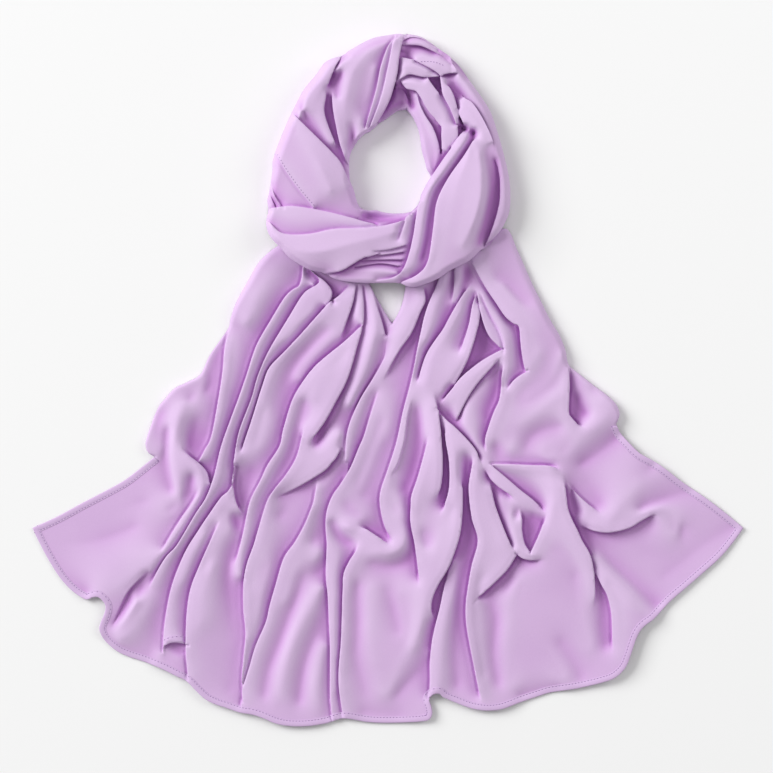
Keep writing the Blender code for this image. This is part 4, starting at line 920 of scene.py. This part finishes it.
def rows_inside(outline, xs, ys):
    """Which points of a lattice lie inside a closed line."""
    ends = np.roll(outline, -1, axis=0)
    inside = np.zeros((len(ys), len(xs)), bool)
    for i, y in enumerate(ys):
        cross = (outline[:, 1] > y) != (ends[:, 1] > y)
        a, b = outline[cross], ends[cross]
        at = np.sort(a[:, 0] + (y - a[:, 1]) / (b[:, 1] - a[:, 1]) * (b[:, 0] - a[:, 0]))
        inside[i] = np.searchsorted(at, xs) % 2 == 1
    return inside


def pressed(grid, heights, outline):
    """Heights pressed down inside an outline, where something lies on the cloth."""
    depth, _ = distance_within(grid, outline, PRESSED_DEPTH)
    xs, ys = grid.centres()
    inside = rows_inside(outline, xs[0], ys[:, 0])
    return heights * (1 - PRESSED_SHARE * np.where(inside, depth / PRESSED_DEPTH, 0))


def rolled_over(heights, rims, distance, index, share):
    """Heights brought down to the rims, over this share of the rounding that each rim says."""
    inward = np.clip(distance / (share * rims[index, RIM_ROUNDING]), 0, 1)
    rise = np.sqrt(1 - (1 - inward) ** 2)
    low = np.minimum(rims[index, RIM_HEIGHT], heights)
    return low + (heights - low) * rise


class Form:
    """The shape of a lying cloth: its folds brought down to its rims."""

    def __init__(self, grid, folds, rims, border, touch, pressed_by=None):
        self.grid, self.touch = grid, touch
        relief, self.shifts = folded(grid, folds, border, touch["fading"], touch["blur"])
        wide = blurred(relief[::WIDE_CELLS, ::WIDE_CELLS], WIDE_BLUR / (WIDE_CELLS * grid.cell))
        around = enlarge(wide, grid.shape)
        relief = np.maximum(touch["gain"] * (around + touch["deepen"] * (relief - around)), LOWEST)
        # painted shade in the creases: the colour darkens where the cloth lies below the height all around it
        self.painted_shades = np.clip((touch["gain"] * around - relief) / PAINTED_SHADE_DEPTH + PAINTED_SHADE_START, 0, 1)
        if pressed_by is not None:
            relief = pressed(grid, relief, pressed_by)
        self.relief = relief
        self.rims = np.vstack([smooth_line(RIMS[name], RIM_SPACING)[0] for name in rims])
        distance, index = distance_within(grid, self.rims, self.rims[:, RIM_ROUNDING].max())
        self.heights = rolled_over(relief, self.rims, distance, index, touch["rim"])
        self.shifts *= np.clip(distance / RIM_STILL, 0, 1)[..., None]
        self.painted_shades *= np.clip(distance / PAINTED_SHADE_RIM, 0, 1)

    def height(self, points):
        return self.grid.sample(self.heights, points)

    def edge_height(self, points):
        """The same for points along the outline, which lie as low as their rim where there is one."""
        index, distance = nearest(points, self.rims)
        height = self.height(points)
        return np.where(distance < ON_RIM, np.minimum(self.rims[index, RIM_HEIGHT], height), height)

    # the painted shade of the fold hollows at these points
    def painted_shade(self, points):
        return self.grid.sample(self.painted_shades, points)

    def shift(self, points):
        return np.stack([self.grid.sample(self.shifts[..., k], points) for k in (0, 1)], 1)

    def turned_in(self, points, outline, inward, share):
        """How far points near the outline move inward, for the cloth to turn in under itself there."""
        rows, columns, _ = self.grid.cells(points)
        _, index = distance_within(self.grid, outline, 2 * TURN_REACH)
        index = index[rows, columns]
        distance = np.hypot(*(points - outline[index]).T)
        deep = TURN_SHARE * self.relief[rows, columns] * share[index]
        profile = (1 - distance / TURN_START) * np.exp(-(distance / TURN_REACH) ** 2)
        return inward[index] * (deep * profile)[:, None]


# ----------------------------------------------------------------------------------------------------
# Sheets: the stretches of cloth, cut out along their outlines
# ----------------------------------------------------------------------------------------------------

PAINTED_SHADE_ATTRIBUTE = "painted_shade"  # the name under which the meshes carry the painted shade of their fold hollows to their materials
TUCK = 3.0  # plan steps that a stretch runs on beneath the one over it
OVERHANG = 1.6  # plan steps from a seam to the foot of the stretch on top
SEAM_FADE = 6.0  # plan steps over which these two narrow down at the ends of a seam
BEND_WEIGHT = 6  # how much more than its rise the bend of a block counts
BLOCK_SIDES = [  # (corner of a block, middle of the next side, the block beyond it), each as (down, right)
    ((0, 0), (1, 0), (0, -1)),
    ((2, 0), (2, 1), (1, 0)),
    ((2, 2), (1, 2), (0, 1)),
    ((0, 2), (0, 1), (-1, 0)),
]


def to_metres(points, heights):
    """Places on the plan and heights in mm, as points of the shared frame."""
    points = np.asarray(points, float)
    middle_x, middle_y = (PLAN_LEFT + PLAN_RIGHT) / 2, (PLAN_TOP + PLAN_BOTTOM) / 2
    x = (points[:, 0] - middle_x) * STEP
    y = (middle_y - points[:, 1]) * STEP
    return np.stack([x, y, np.asarray(heights) * MM], 1)


def finished(name, mesh, materials):
    """A smooth piece of a mesh, put in the scene."""
    mesh.validate()
    for material in materials:
        mesh.materials.append(material)
    mesh.polygons.foreach_set("use_smooth", [True] * len(mesh.polygons))
    mesh.update()
    piece = bpy.data.objects.new(name, mesh)
    bpy.context.scene.collection.objects.link(piece)
    return piece


def seam_line(name):
    return plan_line(SEAMS[name]["points"])


def run_of(kind, name):
    """One run of an outline: a rim, a hem, or a seam that the stretch passes over or under."""
    if kind == "rim":
        return plan_line(RIMS[name])
    if kind == "hem":
        return plan_line(HEM_LINES[name])
    line = seam_line(name)
    shift = (TUCK if kind == "under" else -OVERHANG) * from_ends(line, SEAM_FADE)
    return beside(line, SEAMS[name]["high"], shift[:, None])


def outline_of(parts):
    """The runs of one closed line, and how far each of their points turns in, from 0 to 1. A name that starts
    with a minus is followed backwards."""
    runs, shares = [], []
    for kind, name in parts:
        run = run_of(kind, name.lstrip("-"))
        share = from_ends(run, TURN_FADE) * (kind == "rim")
        onward = -1 if name.startswith("-") else 1
        runs.append(run[::onward])
        shares.append(share[::onward])
    return runs, np.hstack(shares)


def inward_normals(outline):
    """The directions that point into a closed line, one at each of its points."""
    before, after = np.roll(outline, 1, axis=0), np.roll(outline, -1, axis=0)
    turn = np.sign((outline[:, 0] * after[:, 1] - outline[:, 1] * after[:, 0]).sum())
    heading = after - before
    normals = turn * np.stack([-heading[:, 1], heading[:, 0]], 1)
    return normals / np.maximum(np.linalg.norm(normals, axis=1), SHORTEST)[:, None]


def tucked_places(points, parts):
    """Points that have passed a seam under another stretch, moved back to its foot, so that the cloth runs on
    level there."""
    points = points.copy()
    for name in (name.lstrip("-") for kind, name in parts if kind == "under"):
        line = seam_line(name)
        near = np.nonzero(((points > line.min(0) - 2 * TUCK) & (points < line.max(0) + 2 * TUCK)).all(1))[0]
        index, distance = nearest(points[near], line)
        foot = beside(line, SEAMS[name]["high"], -OVERHANG)[index]
        top = beside(line, SEAMS[name]["high"], OVERHANG)[index]
        past = (((points[near] - foot) * (top - foot)).sum(1) > 0) & (distance < 2 * TUCK)
        points[near[past]] = foot[past]
    return points


def bend_of_blocks(heights):
    """How far the surface rises and bends within each block of two by two lattice cells."""
    rows, columns = heights.shape
    block = np.stack([heights[i:rows - 2 + i:2, j:columns - 2 + j:2] for i in range(3) for j in range(3)])
    rise = block.max(0) - block.min(0)
    _, above, _, left, middle, right, _, below, _ = block
    return rise + BEND_WEIGHT * (np.abs(left + right - 2 * middle) + np.abs(above + below - 2 * middle))


def quarter_faces(row, column, kept):
    """The faces of a split block: those of its four cells that are kept."""
    cells = [(i, j) for i in (row, row + 1) for j in (column, column + 1)]
    return [((i, j), (i + 1, j), (i + 1, j + 1), (i, j + 1)) for i, j in cells if kept[i, j]]


def whole_face(row, column, split):
    """The face of a whole block, with a point in the middle of each side that meets a split one."""
    face = []
    for corner, middle, (down, right) in BLOCK_SIDES:
        face.append((row + corner[0], column + corner[1]))
        if split[row // 2 + 1 + down, column // 2 + 1 + right]:
            face.append((row + middle[0], column + middle[1]))
    return tuple(face)


def sheet_faces(outline, form):
    """Plan points and faces of a sheet: blocks of two by two fine cells, split where the cloth bends most."""
    fine, fine_share = form.touch["fine"], form.touch["fine_share"]
    low, high = outline.min(0) - 2 * fine, outline.max(0) + 2 * fine
    columns, rows = (2 * int(math.ceil((high[k] - low[k]) / fine / 2)) for k in (0, 1))
    xs, ys = low[0] + fine * np.arange(columns + 1), low[1] + fine * np.arange(rows + 1)
    kept = rows_inside(outline, xs[:-1] + fine / 2, ys[:-1] + fine / 2)
    lattice = np.stack(np.meshgrid(xs, ys), 2)
    bend = bend_of_blocks(form.height(lattice.reshape(-1, 2)).reshape(lattice.shape[:2]))
    quarters = kept.reshape(rows // 2, 2, columns // 2, 2)
    whole, some = quarters.all((1, 3)), quarters.any((1, 3))
    split = some & (~whole | (bend > np.quantile(bend[whole], 1 - fine_share)))
    framed = np.pad(split, 1)
    faces = []
    for r, c in zip(*np.nonzero(some)):
        if split[r, c]:
            faces += quarter_faces(2 * r, 2 * c, kept)
        else:
            faces.append(whole_face(2 * r, 2 * c, framed))
    return lattice, kept, faces


def snapped(lattice, kept, outline, corners):
    """The lattice with the points around the kept cells moved onto the outline, and which these are."""
    framed = np.pad(kept, 1).astype(int)
    around = framed[:-1, :-1] + framed[1:, :-1] + framed[:-1, 1:] + framed[1:, 1:]
    rim = (around > 0) & (around < 4)
    points = lattice[rim]
    moved = outline[nearest(points, outline)[0]]
    for corner in corners:
        moved[((points - corner) ** 2).sum(1).argmin()] = corner
    lattice = lattice.copy()
    lattice[rim] = moved
    return lattice, rim


def sheet_object(name, parts, form, material):
    """A thin sheet inside an outline, on its form."""
    runs, shares = outline_of(parts)
    outline = np.vstack(runs)
    lattice, kept, faces = sheet_faces(outline, form)
    corners = [run[0] for run in runs] + [run[-1] for run in runs]
    lattice, rim = snapped(lattice, kept, outline, corners)
    numbers = np.full(lattice.shape[:2], -1)
    used = np.unique([i * lattice.shape[1] + j for face in faces for i, j in face])
    numbers.reshape(-1)[used] = np.arange(len(used))
    points, rim = lattice.reshape(-1, 2)[used], rim.reshape(-1)[used]
    places = tucked_places(points, parts)
    heights = form.height(places)
    heights[rim] = form.edge_height(places[rim])
    moved = points + form.shift(places) + form.turned_in(points, outline, inward_normals(outline), shares)
    corners_of_faces = [[int(numbers[place]) for place in face] for face in faces]
    mesh = bpy.data.meshes.new(name)
    mesh.from_pydata(to_metres(moved, heights).tolist(), [], corners_of_faces)
    # painted shade of the fold hollows, handed to the material to darken the colour there
    mesh.attributes.new(PAINTED_SHADE_ATTRIBUTE, "FLOAT", "POINT").data.foreach_set("value", form.painted_shade(places))
    return finished(name, mesh, [material])


# ----------------------------------------------------------------------------------------------------
# Hems and stitches
# ----------------------------------------------------------------------------------------------------

HEM_SPACING = 1.25  # plan steps between the sections of a hem
HEM_SECTION = [  # (plan steps in from the cut edge, mm above the panel)
    (-0.25, 0.10), (0.00, 0.55), (0.60, 0.80), (2.20, 0.85), (3.80, 0.80), (4.50, 0.60), (5.00, 0.30),
    (5.50, 0.55), (6.00, 0.50), (6.30, 0.05), (5.00, -0.25), (2.50, -0.25), (0.40, -0.25)]
HEM_PANEL = 0.6  # plan steps in from the cut edge, where the height of the panel is first read
HEM_LOWEST = 0.12  # mm
PUCKER = 0.10  # mm that the stitches draw the hem in
PUCKER_FROM, PUCKER_TO = 3.5, 6.4  # plan steps from the cut edge
HEM_ROW = dict(inset=5.0, lift=0.38)  # the stitches: plan steps in from their line, mm above the panel
LOOP_ROW = dict(inset=1.6, lift=0.05)
STITCH_PITCH, STITCH_LENGTH, STITCH_WIDTH = 3.3, 1.6, 0.8  # plan steps
STITCH_HEIGHT = 0.30  # mm
STITCH_CORNERS = [  # (halves of the length ahead, halves of the width inward, height)
    (-1, 0, 0), (-0.6, -1, 0), (0.6, -1, 0), (1, 0, 0), (0.6, 1, 0), (-0.6, 1, 0), (-0.5, 0, 1), (0.5, 0, 1)]
STITCH_FACES = [(0, 6, 1), (1, 6, 7, 2), (2, 7, 3), (3, 7, 4), (4, 7, 6, 5), (5, 6, 0)]


def evenly(line, spacing):
    """Points of a line, one each spacing, and how far along the line they are."""
    path = path_length(line)
    count = max(2, int(round(path[-1] / spacing)) + 1)
    at = np.linspace(0, path[-1], count)
    return np.stack([np.interp(at, path, line[:, k]) for k in (0, 1)], 1), at


def hem_shape(line, inward, height_at):
    """Points and faces of a turned hem, a closed strip along a cut edge."""
    line, at = evenly(line, HEM_SPACING)
    across = across_to(line, inward)
    pucker = PUCKER * (0.5 + 0.5 * np.sin(2 * np.pi * at / STITCH_PITCH))
    rows = []
    for inset, lift in HEM_SECTION:
        panel = height_at(line + across * max(inset, HEM_PANEL))
        drawn = pucker if PUCKER_FROM < inset < PUCKER_TO and lift > 0 else 0
        rows.append(to_metres(line + across * inset, np.maximum(panel + lift - drawn, HEM_LOWEST)))
    count, around = len(line), len(rows)
    faces = [(i * around + k, i * around + (k + 1) % around,
              (i + 1) * around + (k + 1) % around, (i + 1) * around + k)
             for i in range(count - 1) for k in range(around)]
    first_end = tuple(range(around))[::-1]
    last_end = tuple((count - 1) * around + k for k in range(around))
    return np.stack(rows, 1).reshape(-1, 3), faces + [first_end, last_end]


def stitches_shape(line, inward, height_at, inset, lift):
    """Points and faces of a row of short raised threads beside a line."""
    line, _ = evenly(line, STITCH_PITCH)
    across = across_to(line, inward)
    heading = np.stack([across[:, 1], -across[:, 0]], 1)
    verts, faces = [], []
    for place, side, ahead in zip(line + across * inset, across, heading):
        base = height_at(place[None, :])[0] + lift
        plan = [place + ahead * a * STITCH_LENGTH / 2 + side * s * STITCH_WIDTH / 2
                for a, s, _ in STITCH_CORNERS]
        heights = [base + up * STITCH_HEIGHT for _, _, up in STITCH_CORNERS]
        start = len(verts) * len(STITCH_CORNERS)
        verts.append(to_metres(plan, heights))
        faces += [tuple(start + k for k in face) for face in STITCH_FACES]
    return np.vstack(verts), faces


def hem_object(node_name, inward, height_at, cloth, thread):
    """The hem along a cut edge and over its roll, with its stitches."""
    verts, faces, slots = [], [], []
    for points in (table[node_name] for table in (HEM_LINES, CURLED_HEMS) if node_name in table):
        line = plan_line(points)
        shapes = (hem_shape(line, inward, height_at), stitches_shape(line, inward, height_at, **HEM_ROW))
        for slot, (some, around) in enumerate(shapes):
            start = sum(len(v) for v in verts)
            verts.append(some)
            faces += [[start + k for k in face] for face in around]
            slots += [slot] * len(around)
    name = node_name + "_cloth"
    mesh = bpy.data.meshes.new(name)
    mesh.from_pydata(np.vstack(verts).tolist(), [], faces)
    piece = finished(name, mesh, [cloth, thread])
    piece.data.polygons.foreach_set("material_index", slots)
    return piece


def stitches_object(name, points, inward, height_at, thread):
    verts, faces = stitches_shape(plan_line(points), inward, height_at, **LOOP_ROW)
    mesh = bpy.data.meshes.new(name)
    mesh.from_pydata(verts.tolist(), [], faces)
    return finished(name, mesh, [thread])


# ----------------------------------------------------------------------------------------------------
# Materials
# ----------------------------------------------------------------------------------------------------

LILAC = (0.665, 0.487, 0.725)
# the deeper lilac: the darker tone of the mottling and the colour of the doubled hems; on the inner surfaces
# of the neck opening it is painted shade
LILAC_DEEP_AND_SHADE = (0.622, 0.440, 0.687)
DOUBLED_AND_SHADED = (0.77, 0.49, 0.79)  # what is left of the colour deep in a fold: partly the deeper colour of the thin cloth lying doubled, partly painted shade in the crease
THREAD = (0.30, 0.15, 0.40)
THREAD_SHADE = 0.8  # what is left of it on the dark side of the twist
CREPE_SURFACE = {
    "Roughness": 0.78, "Specular IOR Level": 0.22, "Sheen Weight": 0.12, "Sheen Roughness": 0.45,
    "Sheen Tint": (0.95, 0.88, 1.0, 1.0)}
THREAD_SURFACE = {"Roughness": 0.6}
FLOOR_SURFACE = {"Base Color": (0.87, 0.87, 0.87, 1.0), "Roughness": 0.9, "Specular IOR Level": 0.1}
BLOTCHES = dict(Scale=14.0, Detail=2.0)
GRAIN = dict(Scale=620.0, Detail=3.0)
GRAIN_SHARE = 0.55  # how much the grain counts beside the blotches
MOTTLED = (0.30, 0.90)  # where the deep colour ends and the light one begins
WEAVE = dict(Scale=620.0, Distortion=1.5, Detail=1.0)
WEAVE_BUMP = dict(Strength=0.25, Distance=0.00012)
GRAIN_BUMP = dict(Strength=0.45, Distance=0.00030)
TWIST = dict(Scale=900.0, Detail=2.0)


def surface(name, sockets):
    """A new material, its node tree and its shader, with these values on the shader's own sockets."""
    material = bpy.data.materials.new(name)
    material.use_nodes = True
    shader = material.node_tree.nodes["Principled BSDF"]
    for socket, value in sockets.items():
        shader.inputs[socket].default_value = value
    return material, material.node_tree, shader


def node(tree, kind, settings=None, **inputs):
    """A new node with these settings, and these values on its inputs."""
    made = tree.nodes.new("ShaderNode" + kind)
    for name, value in (settings or {}).items():
        setattr(made, name, value)
    for name, value in inputs.items():
        made.inputs[name].default_value = value
    return made


def colour_ramp(tree, dark, light, ends=(0.0, 1.0)):
    made = node(tree, "ValToRGB")
    for stop, colour, position in zip(made.color_ramp.elements, (dark, light), ends):
        stop.position = position
        stop.color = (*colour, 1.0)
    return made


def mottled_colour(tree, place, grain, light, deep):
    """The colour of the cloth in soft blotches and fine grain."""
    blotches = node(tree, "TexNoise", **BLOTCHES)
    tree.links.new(place.outputs["Object"], blotches.inputs["Vector"])
    mottle = node(tree, "Math", dict(operation="MULTIPLY_ADD"))
    mottle.inputs[1].default_value = GRAIN_SHARE
    tree.links.new(grain.outputs["Fac"], mottle.inputs[0])
    tree.links.new(blotches.outputs["Fac"], mottle.inputs[2])
    ramp = colour_ramp(tree, deep, light, MOTTLED)
    tree.links.new(mottle.outputs[0], ramp.inputs["Fac"])
    return ramp


def painted_shade_in_hollows(tree, colour):
    """The colour, darkened in the hollows of the folds: painted shade in the creases, partly the deeper
    colour of the cloth lying doubled.
    """
    painted_shade = node(tree, "Attribute", dict(attribute_name=PAINTED_SHADE_ATTRIBUTE))
    doubled_and_shaded = node(tree, "Mix", dict(data_type="RGBA", blend_type="MULTIPLY"), B=(*DOUBLED_AND_SHADED, 1.0))
    tree.links.new(painted_shade.outputs["Fac"], doubled_and_shaded.inputs["Factor"])
    tree.links.new(colour.outputs["Color"], doubled_and_shaded.inputs["A"])
    return doubled_and_shaded


def woven_bump(tree, place, grain):
    """A plain weave under a pebbled grain."""
    weave = node(tree, "Math", dict(operation="MULTIPLY"))
    for slot, direction in enumerate(("X", "Y")):
        threads = node(tree, "TexWave", dict(bands_direction=direction), **WEAVE)
        tree.links.new(place.outputs["Object"], threads.inputs["Vector"])
        tree.links.new(threads.outputs["Fac"], weave.inputs[slot])
    fine = node(tree, "Bump", **WEAVE_BUMP)
    pebble = node(tree, "Bump", **GRAIN_BUMP)
    tree.links.new(weave.outputs[0], fine.inputs["Height"])
    tree.links.new(grain.outputs["Fac"], pebble.inputs["Height"])
    tree.links.new(fine.outputs["Normal"], pebble.inputs["Normal"])
    return pebble


def crepe(name, light, deep):
    """Fine matt crepe with a soft sheen."""
    material, tree, shader = surface(name, CREPE_SURFACE)
    place = node(tree, "TexCoord")
    grain = node(tree, "TexNoise", **GRAIN)
    tree.links.new(place.outputs["Object"], grain.inputs["Vector"])
    # painted shade in the hollows of the folds, over the cloth's own mottled colour
    colour = painted_shade_in_hollows(tree, mottled_colour(tree, place, grain, light, deep))
    tree.links.new(colour.outputs["Result"], shader.inputs["Base Color"])
    tree.links.new(woven_bump(tree, place, grain).outputs["Normal"], shader.inputs["Normal"])
    return material


def sewing_thread(name):
    material, tree, shader = surface(name, THREAD_SURFACE)
    place = node(tree, "TexCoord")
    twist = node(tree, "TexNoise", **TWIST)
    ramp = colour_ramp(tree, [THREAD_SHADE * c for c in THREAD], THREAD)
    tree.links.new(place.outputs["Object"], twist.inputs["Vector"])
    tree.links.new(twist.outputs["Fac"], ramp.inputs["Fac"])
    tree.links.new(ramp.outputs["Color"], shader.inputs["Base Color"])
    return material


# ----------------------------------------------------------------------------------------------------
# The scarf
# ----------------------------------------------------------------------------------------------------

# fading: plan steps over which the loose ends of the folds fade; blur: how soft the folds are, in plan steps;
# gain: what all heights are multiplied by; deepen: what the folds alone are multiplied by; rim: how much of
# their rounding the rims take; fine: size of the finest cells, in plan steps; fine_share: how much is so fine
TAIL_TOUCH = dict(fading=10.0, blur=2.2, gain=1.2, deepen=1.2, rim=0.8, fine=0.8, fine_share=0.29)
LOOP_TOUCH = dict(fading=4.0, blur=1.3, gain=1.0, deepen=1.1, rim=0.55, fine=0.6, fine_share=0.40)

TAIL_RIMS = ("tail_left_side", "gap_left", "gap_right", "tail_right_side")
LOOP_RIMS = tuple(name for name in RIMS if name not in TAIL_RIMS)
LOOP_OUTSIDE = ("loop_left_outside", "loop_front_outside", "loop_outer_outside")

LOOP_OUTLINE = np.vstack([plan_line(RIMS[name]) for name in LOOP_OUTSIDE])
TAIL_BORDER = np.vstack([plan_line(RIMS[name]) for name in TAIL_RIMS]
                        + [plan_line(points) for points in HEM_LINES.values()]
                        + [seam_line("between_tails"), LOOP_OUTLINE])
LOOP_BORDER = np.vstack([plan_line(RIMS[name]) for name in LOOP_RIMS]
                        + [seam_line(name) for name in SEAMS if name != "between_tails"])

TAIL_GRID = Grid((24, 215), (752, 735), CELL)
LOOP_GRID = Grid((255, 25), (525, 300), CELL)
TAILS = Form(TAIL_GRID, LEFT_TAIL_FOLDS + RIGHT_TAIL_FOLDS, TAIL_RIMS, TAIL_BORDER, TAIL_TOUCH, LOOP_OUTLINE)
LOOP = Form(LOOP_GRID, LOOP_FOLDS, LOOP_RIMS, LOOP_BORDER, LOOP_TOUCH)

chiffon = crepe("chiffon", LILAC, LILAC_DEEP_AND_SHADE)
# a darker copy of the chiffon for the inner surfaces of the neck opening: painted shade
inner = crepe("shaded_inner_chiffon", LILAC_DEEP_AND_SHADE, LILAC_DEEP_AND_SHADE)
hem_cloth = crepe("hem_chiffon", LILAC_DEEP_AND_SHADE, LILAC_DEEP_AND_SHADE)
thread = sewing_thread("sewing_thread")

HEMS = [
    dict(node="hem_left_side", inward="south"),
    dict(node="hem_left_end", inward="north"),
    dict(node="hem_right_end", inward="north"),
    dict(node="hem_right_side", inward="south"),
]

# flat: the cut of what shows, in metres; outline: the runs of a closed line, each a rim, a hem, or a seam
# where the stretch lies over its neighbour or runs on under it
SHEETS = [
    dict(node="tail_left", slot="chiffon", form=TAILS, flat=(0.34, 0.46), held="gathered",
         rests_on=("tail_right",), sewn_on=("hem_left_side", "hem_left_end"), outline=[
             ("rim", "tail_left_side"), ("hem", "hem_left_side"), ("hem", "hem_left_end"),
             ("under", "-between_tails"), ("rim", "-gap_left")]),
    dict(node="tail_right", slot="chiffon", form=TAILS, flat=(0.43, 0.48), held="gathered",
         rests_on=("tail_left",), sewn_on=("hem_right_end", "hem_right_side"), outline=[
             ("over", "between_tails"), ("hem", "hem_right_end"), ("hem", "hem_right_side"),
             ("rim", "-tail_right_side"), ("rim", "-gap_right")]),
    dict(node="loop_left", slot="chiffon", form=LOOP, flat=(0.13, 0.27), held="gathered",
         rests_on=("tail_left",), sewn_on=("loop_left_stitches",), outline=[
             ("rim", "loop_left_outside"), ("under", "wrap_over_left"), ("over", "-left_over_front"),
             ("rim", "-hole_left"), ("over", "-bundle_over_back"), ("over", "-bundle"),
             ("over", "-bundle_over_outer")]),
    dict(node="loop_wrap", slot="chiffon", form=LOOP, flat=(0.14, 0.42), held="gathered",
         rests_on=("tail_left", "tail_right", "loop_left"), sewn_on=("loop_wrap_stitches",), outline=[
             ("under", "bundle"), ("over", "wrap_over_back"), ("rim", "-hole_right"),
             ("over", "-wrap_over_front"), ("over", "-wrap_over_left"), ("rim", "loop_front_outside"),
             ("under", "-outer_over_wrap"), ("under", "-outer_over_top")]),
    dict(node="loop_outer", slot="chiffon", form=LOOP, flat=(0.045, 0.27), held="gathered",
         rests_on=("tail_right",), sewn_on=(), outline=[
             ("rim", "loop_outer_outside"), ("under", "bundle_over_outer"), ("over", "outer_over_top"),
             ("over", "outer_over_wrap")]),
    dict(node="loop_neck_back", slot="inner", form=LOOP, flat=(0.035, 0.04), held="folded",
         rests_on=("loop_left",), sewn_on=(), outline=[
             ("rim", "hole_back"), ("under", "-bundle_over_back"), ("under", "wrap_over_back")]),
    dict(node="loop_inner_front", slot="inner", form=LOOP, flat=(0.033, 0.085), held="folded",
         rests_on=("loop_wrap",), sewn_on=(), outline=[
             ("rim", "hole_front"), ("under", "-wrap_over_front"), ("under", "-left_over_front")]),
]
SLOT_CLOTH = dict(chiffon=chiffon, inner=inner)


def joined(piece, node_name):
    """The piece, standing for a node of the CAD model and riding on its one body."""
    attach(piece, "root")
    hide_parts(node_name)
    return piece


for row in HEMS:
    hem = hem_object(row["node"], row["inward"], TAILS.height, hem_cloth, thread)
    joined(hem, row["node"])

for row in SHEETS:
    sheet = sheet_object(row["node"] + "_cloth", row["outline"], row["form"], SLOT_CLOTH[row["slot"]])
    joined(sheet, row["node"])

for row in LOOP_STITCHES:
    name = row["node"] + "_stitches"
    stitches = stitches_object(name, row["line"], row["inward"], LOOP.height, thread)
    joined(stitches, row["node"])

# ----------------------------------------------------------------------------------------------------
# Floor, light and camera
# ----------------------------------------------------------------------------------------------------

FLOOR_REACH = 4.0  # metres from the middle to its sides
LIGHTS = [  # places and sizes in metres, power in watts
    dict(name="key", place=(-8.9, 4.8, 6.4), size=6.5, power=1430.0),
    dict(name="far_side", place=(3.4, 1.6, 2.6), size=2.4, power=46.0),
]
DAYLIGHT = 0.45
FRAME_STEPS = 773.0  # the view is this many plan steps wide
FRAME_MIDDLE = (386.5, 386.5)
CAMERA_HEIGHT = 6.0  # metres
CAMERA_REACH = 20.0
SENSOR = 36.0  # mm


def floor():
    mesh = bpy.data.meshes.new("floor")
    corners = [(x * FLOOR_REACH, y * FLOOR_REACH, 0) for x, y in ((-1, -1), (1, -1), (1, 1), (-1, 1))]
    mesh.from_pydata(corners, [], [(0, 1, 2, 3)])
    material, _, _ = surface("floor", FLOOR_SURFACE)
    finished("floor", mesh, [material])


def area_light(name, place, size, power):
    data = bpy.data.lights.new(name, "AREA")
    data.size = size
    data.energy = power
    lamp = bpy.data.objects.new(name, data)
    bpy.context.scene.collection.objects.link(lamp)
    lamp.location = place
    lamp.rotation_euler = (-lamp.location).to_track_quat("-Z", "Y").to_euler()


def daylight(strength):
    world = bpy.data.worlds.new("studio")
    world.use_nodes = True
    background = world.node_tree.nodes["Background"]
    background.inputs["Color"].default_value = (1.0, 1.0, 1.0, 1.0)
    background.inputs["Strength"].default_value = strength
    bpy.context.scene.world = world


def camera():
    data = bpy.data.cameras.new("camera")
    data.sensor_width = SENSOR
    data.lens = SENSOR * CAMERA_HEIGHT / (FRAME_STEPS * STEP)
    data.clip_end = CAMERA_REACH
    made = bpy.data.objects.new("camera", data)
    middle = to_metres([FRAME_MIDDLE], [0])[0]
    made.location = (middle[0], middle[1], CAMERA_HEIGHT)
    bpy.context.scene.collection.objects.link(made)
    bpy.context.scene.camera = made


floor()
for row in LIGHTS:
    area_light(**row)
daylight(DAYLIGHT)
camera()
bpy.context.scene.view_settings.view_transform = "Standard"
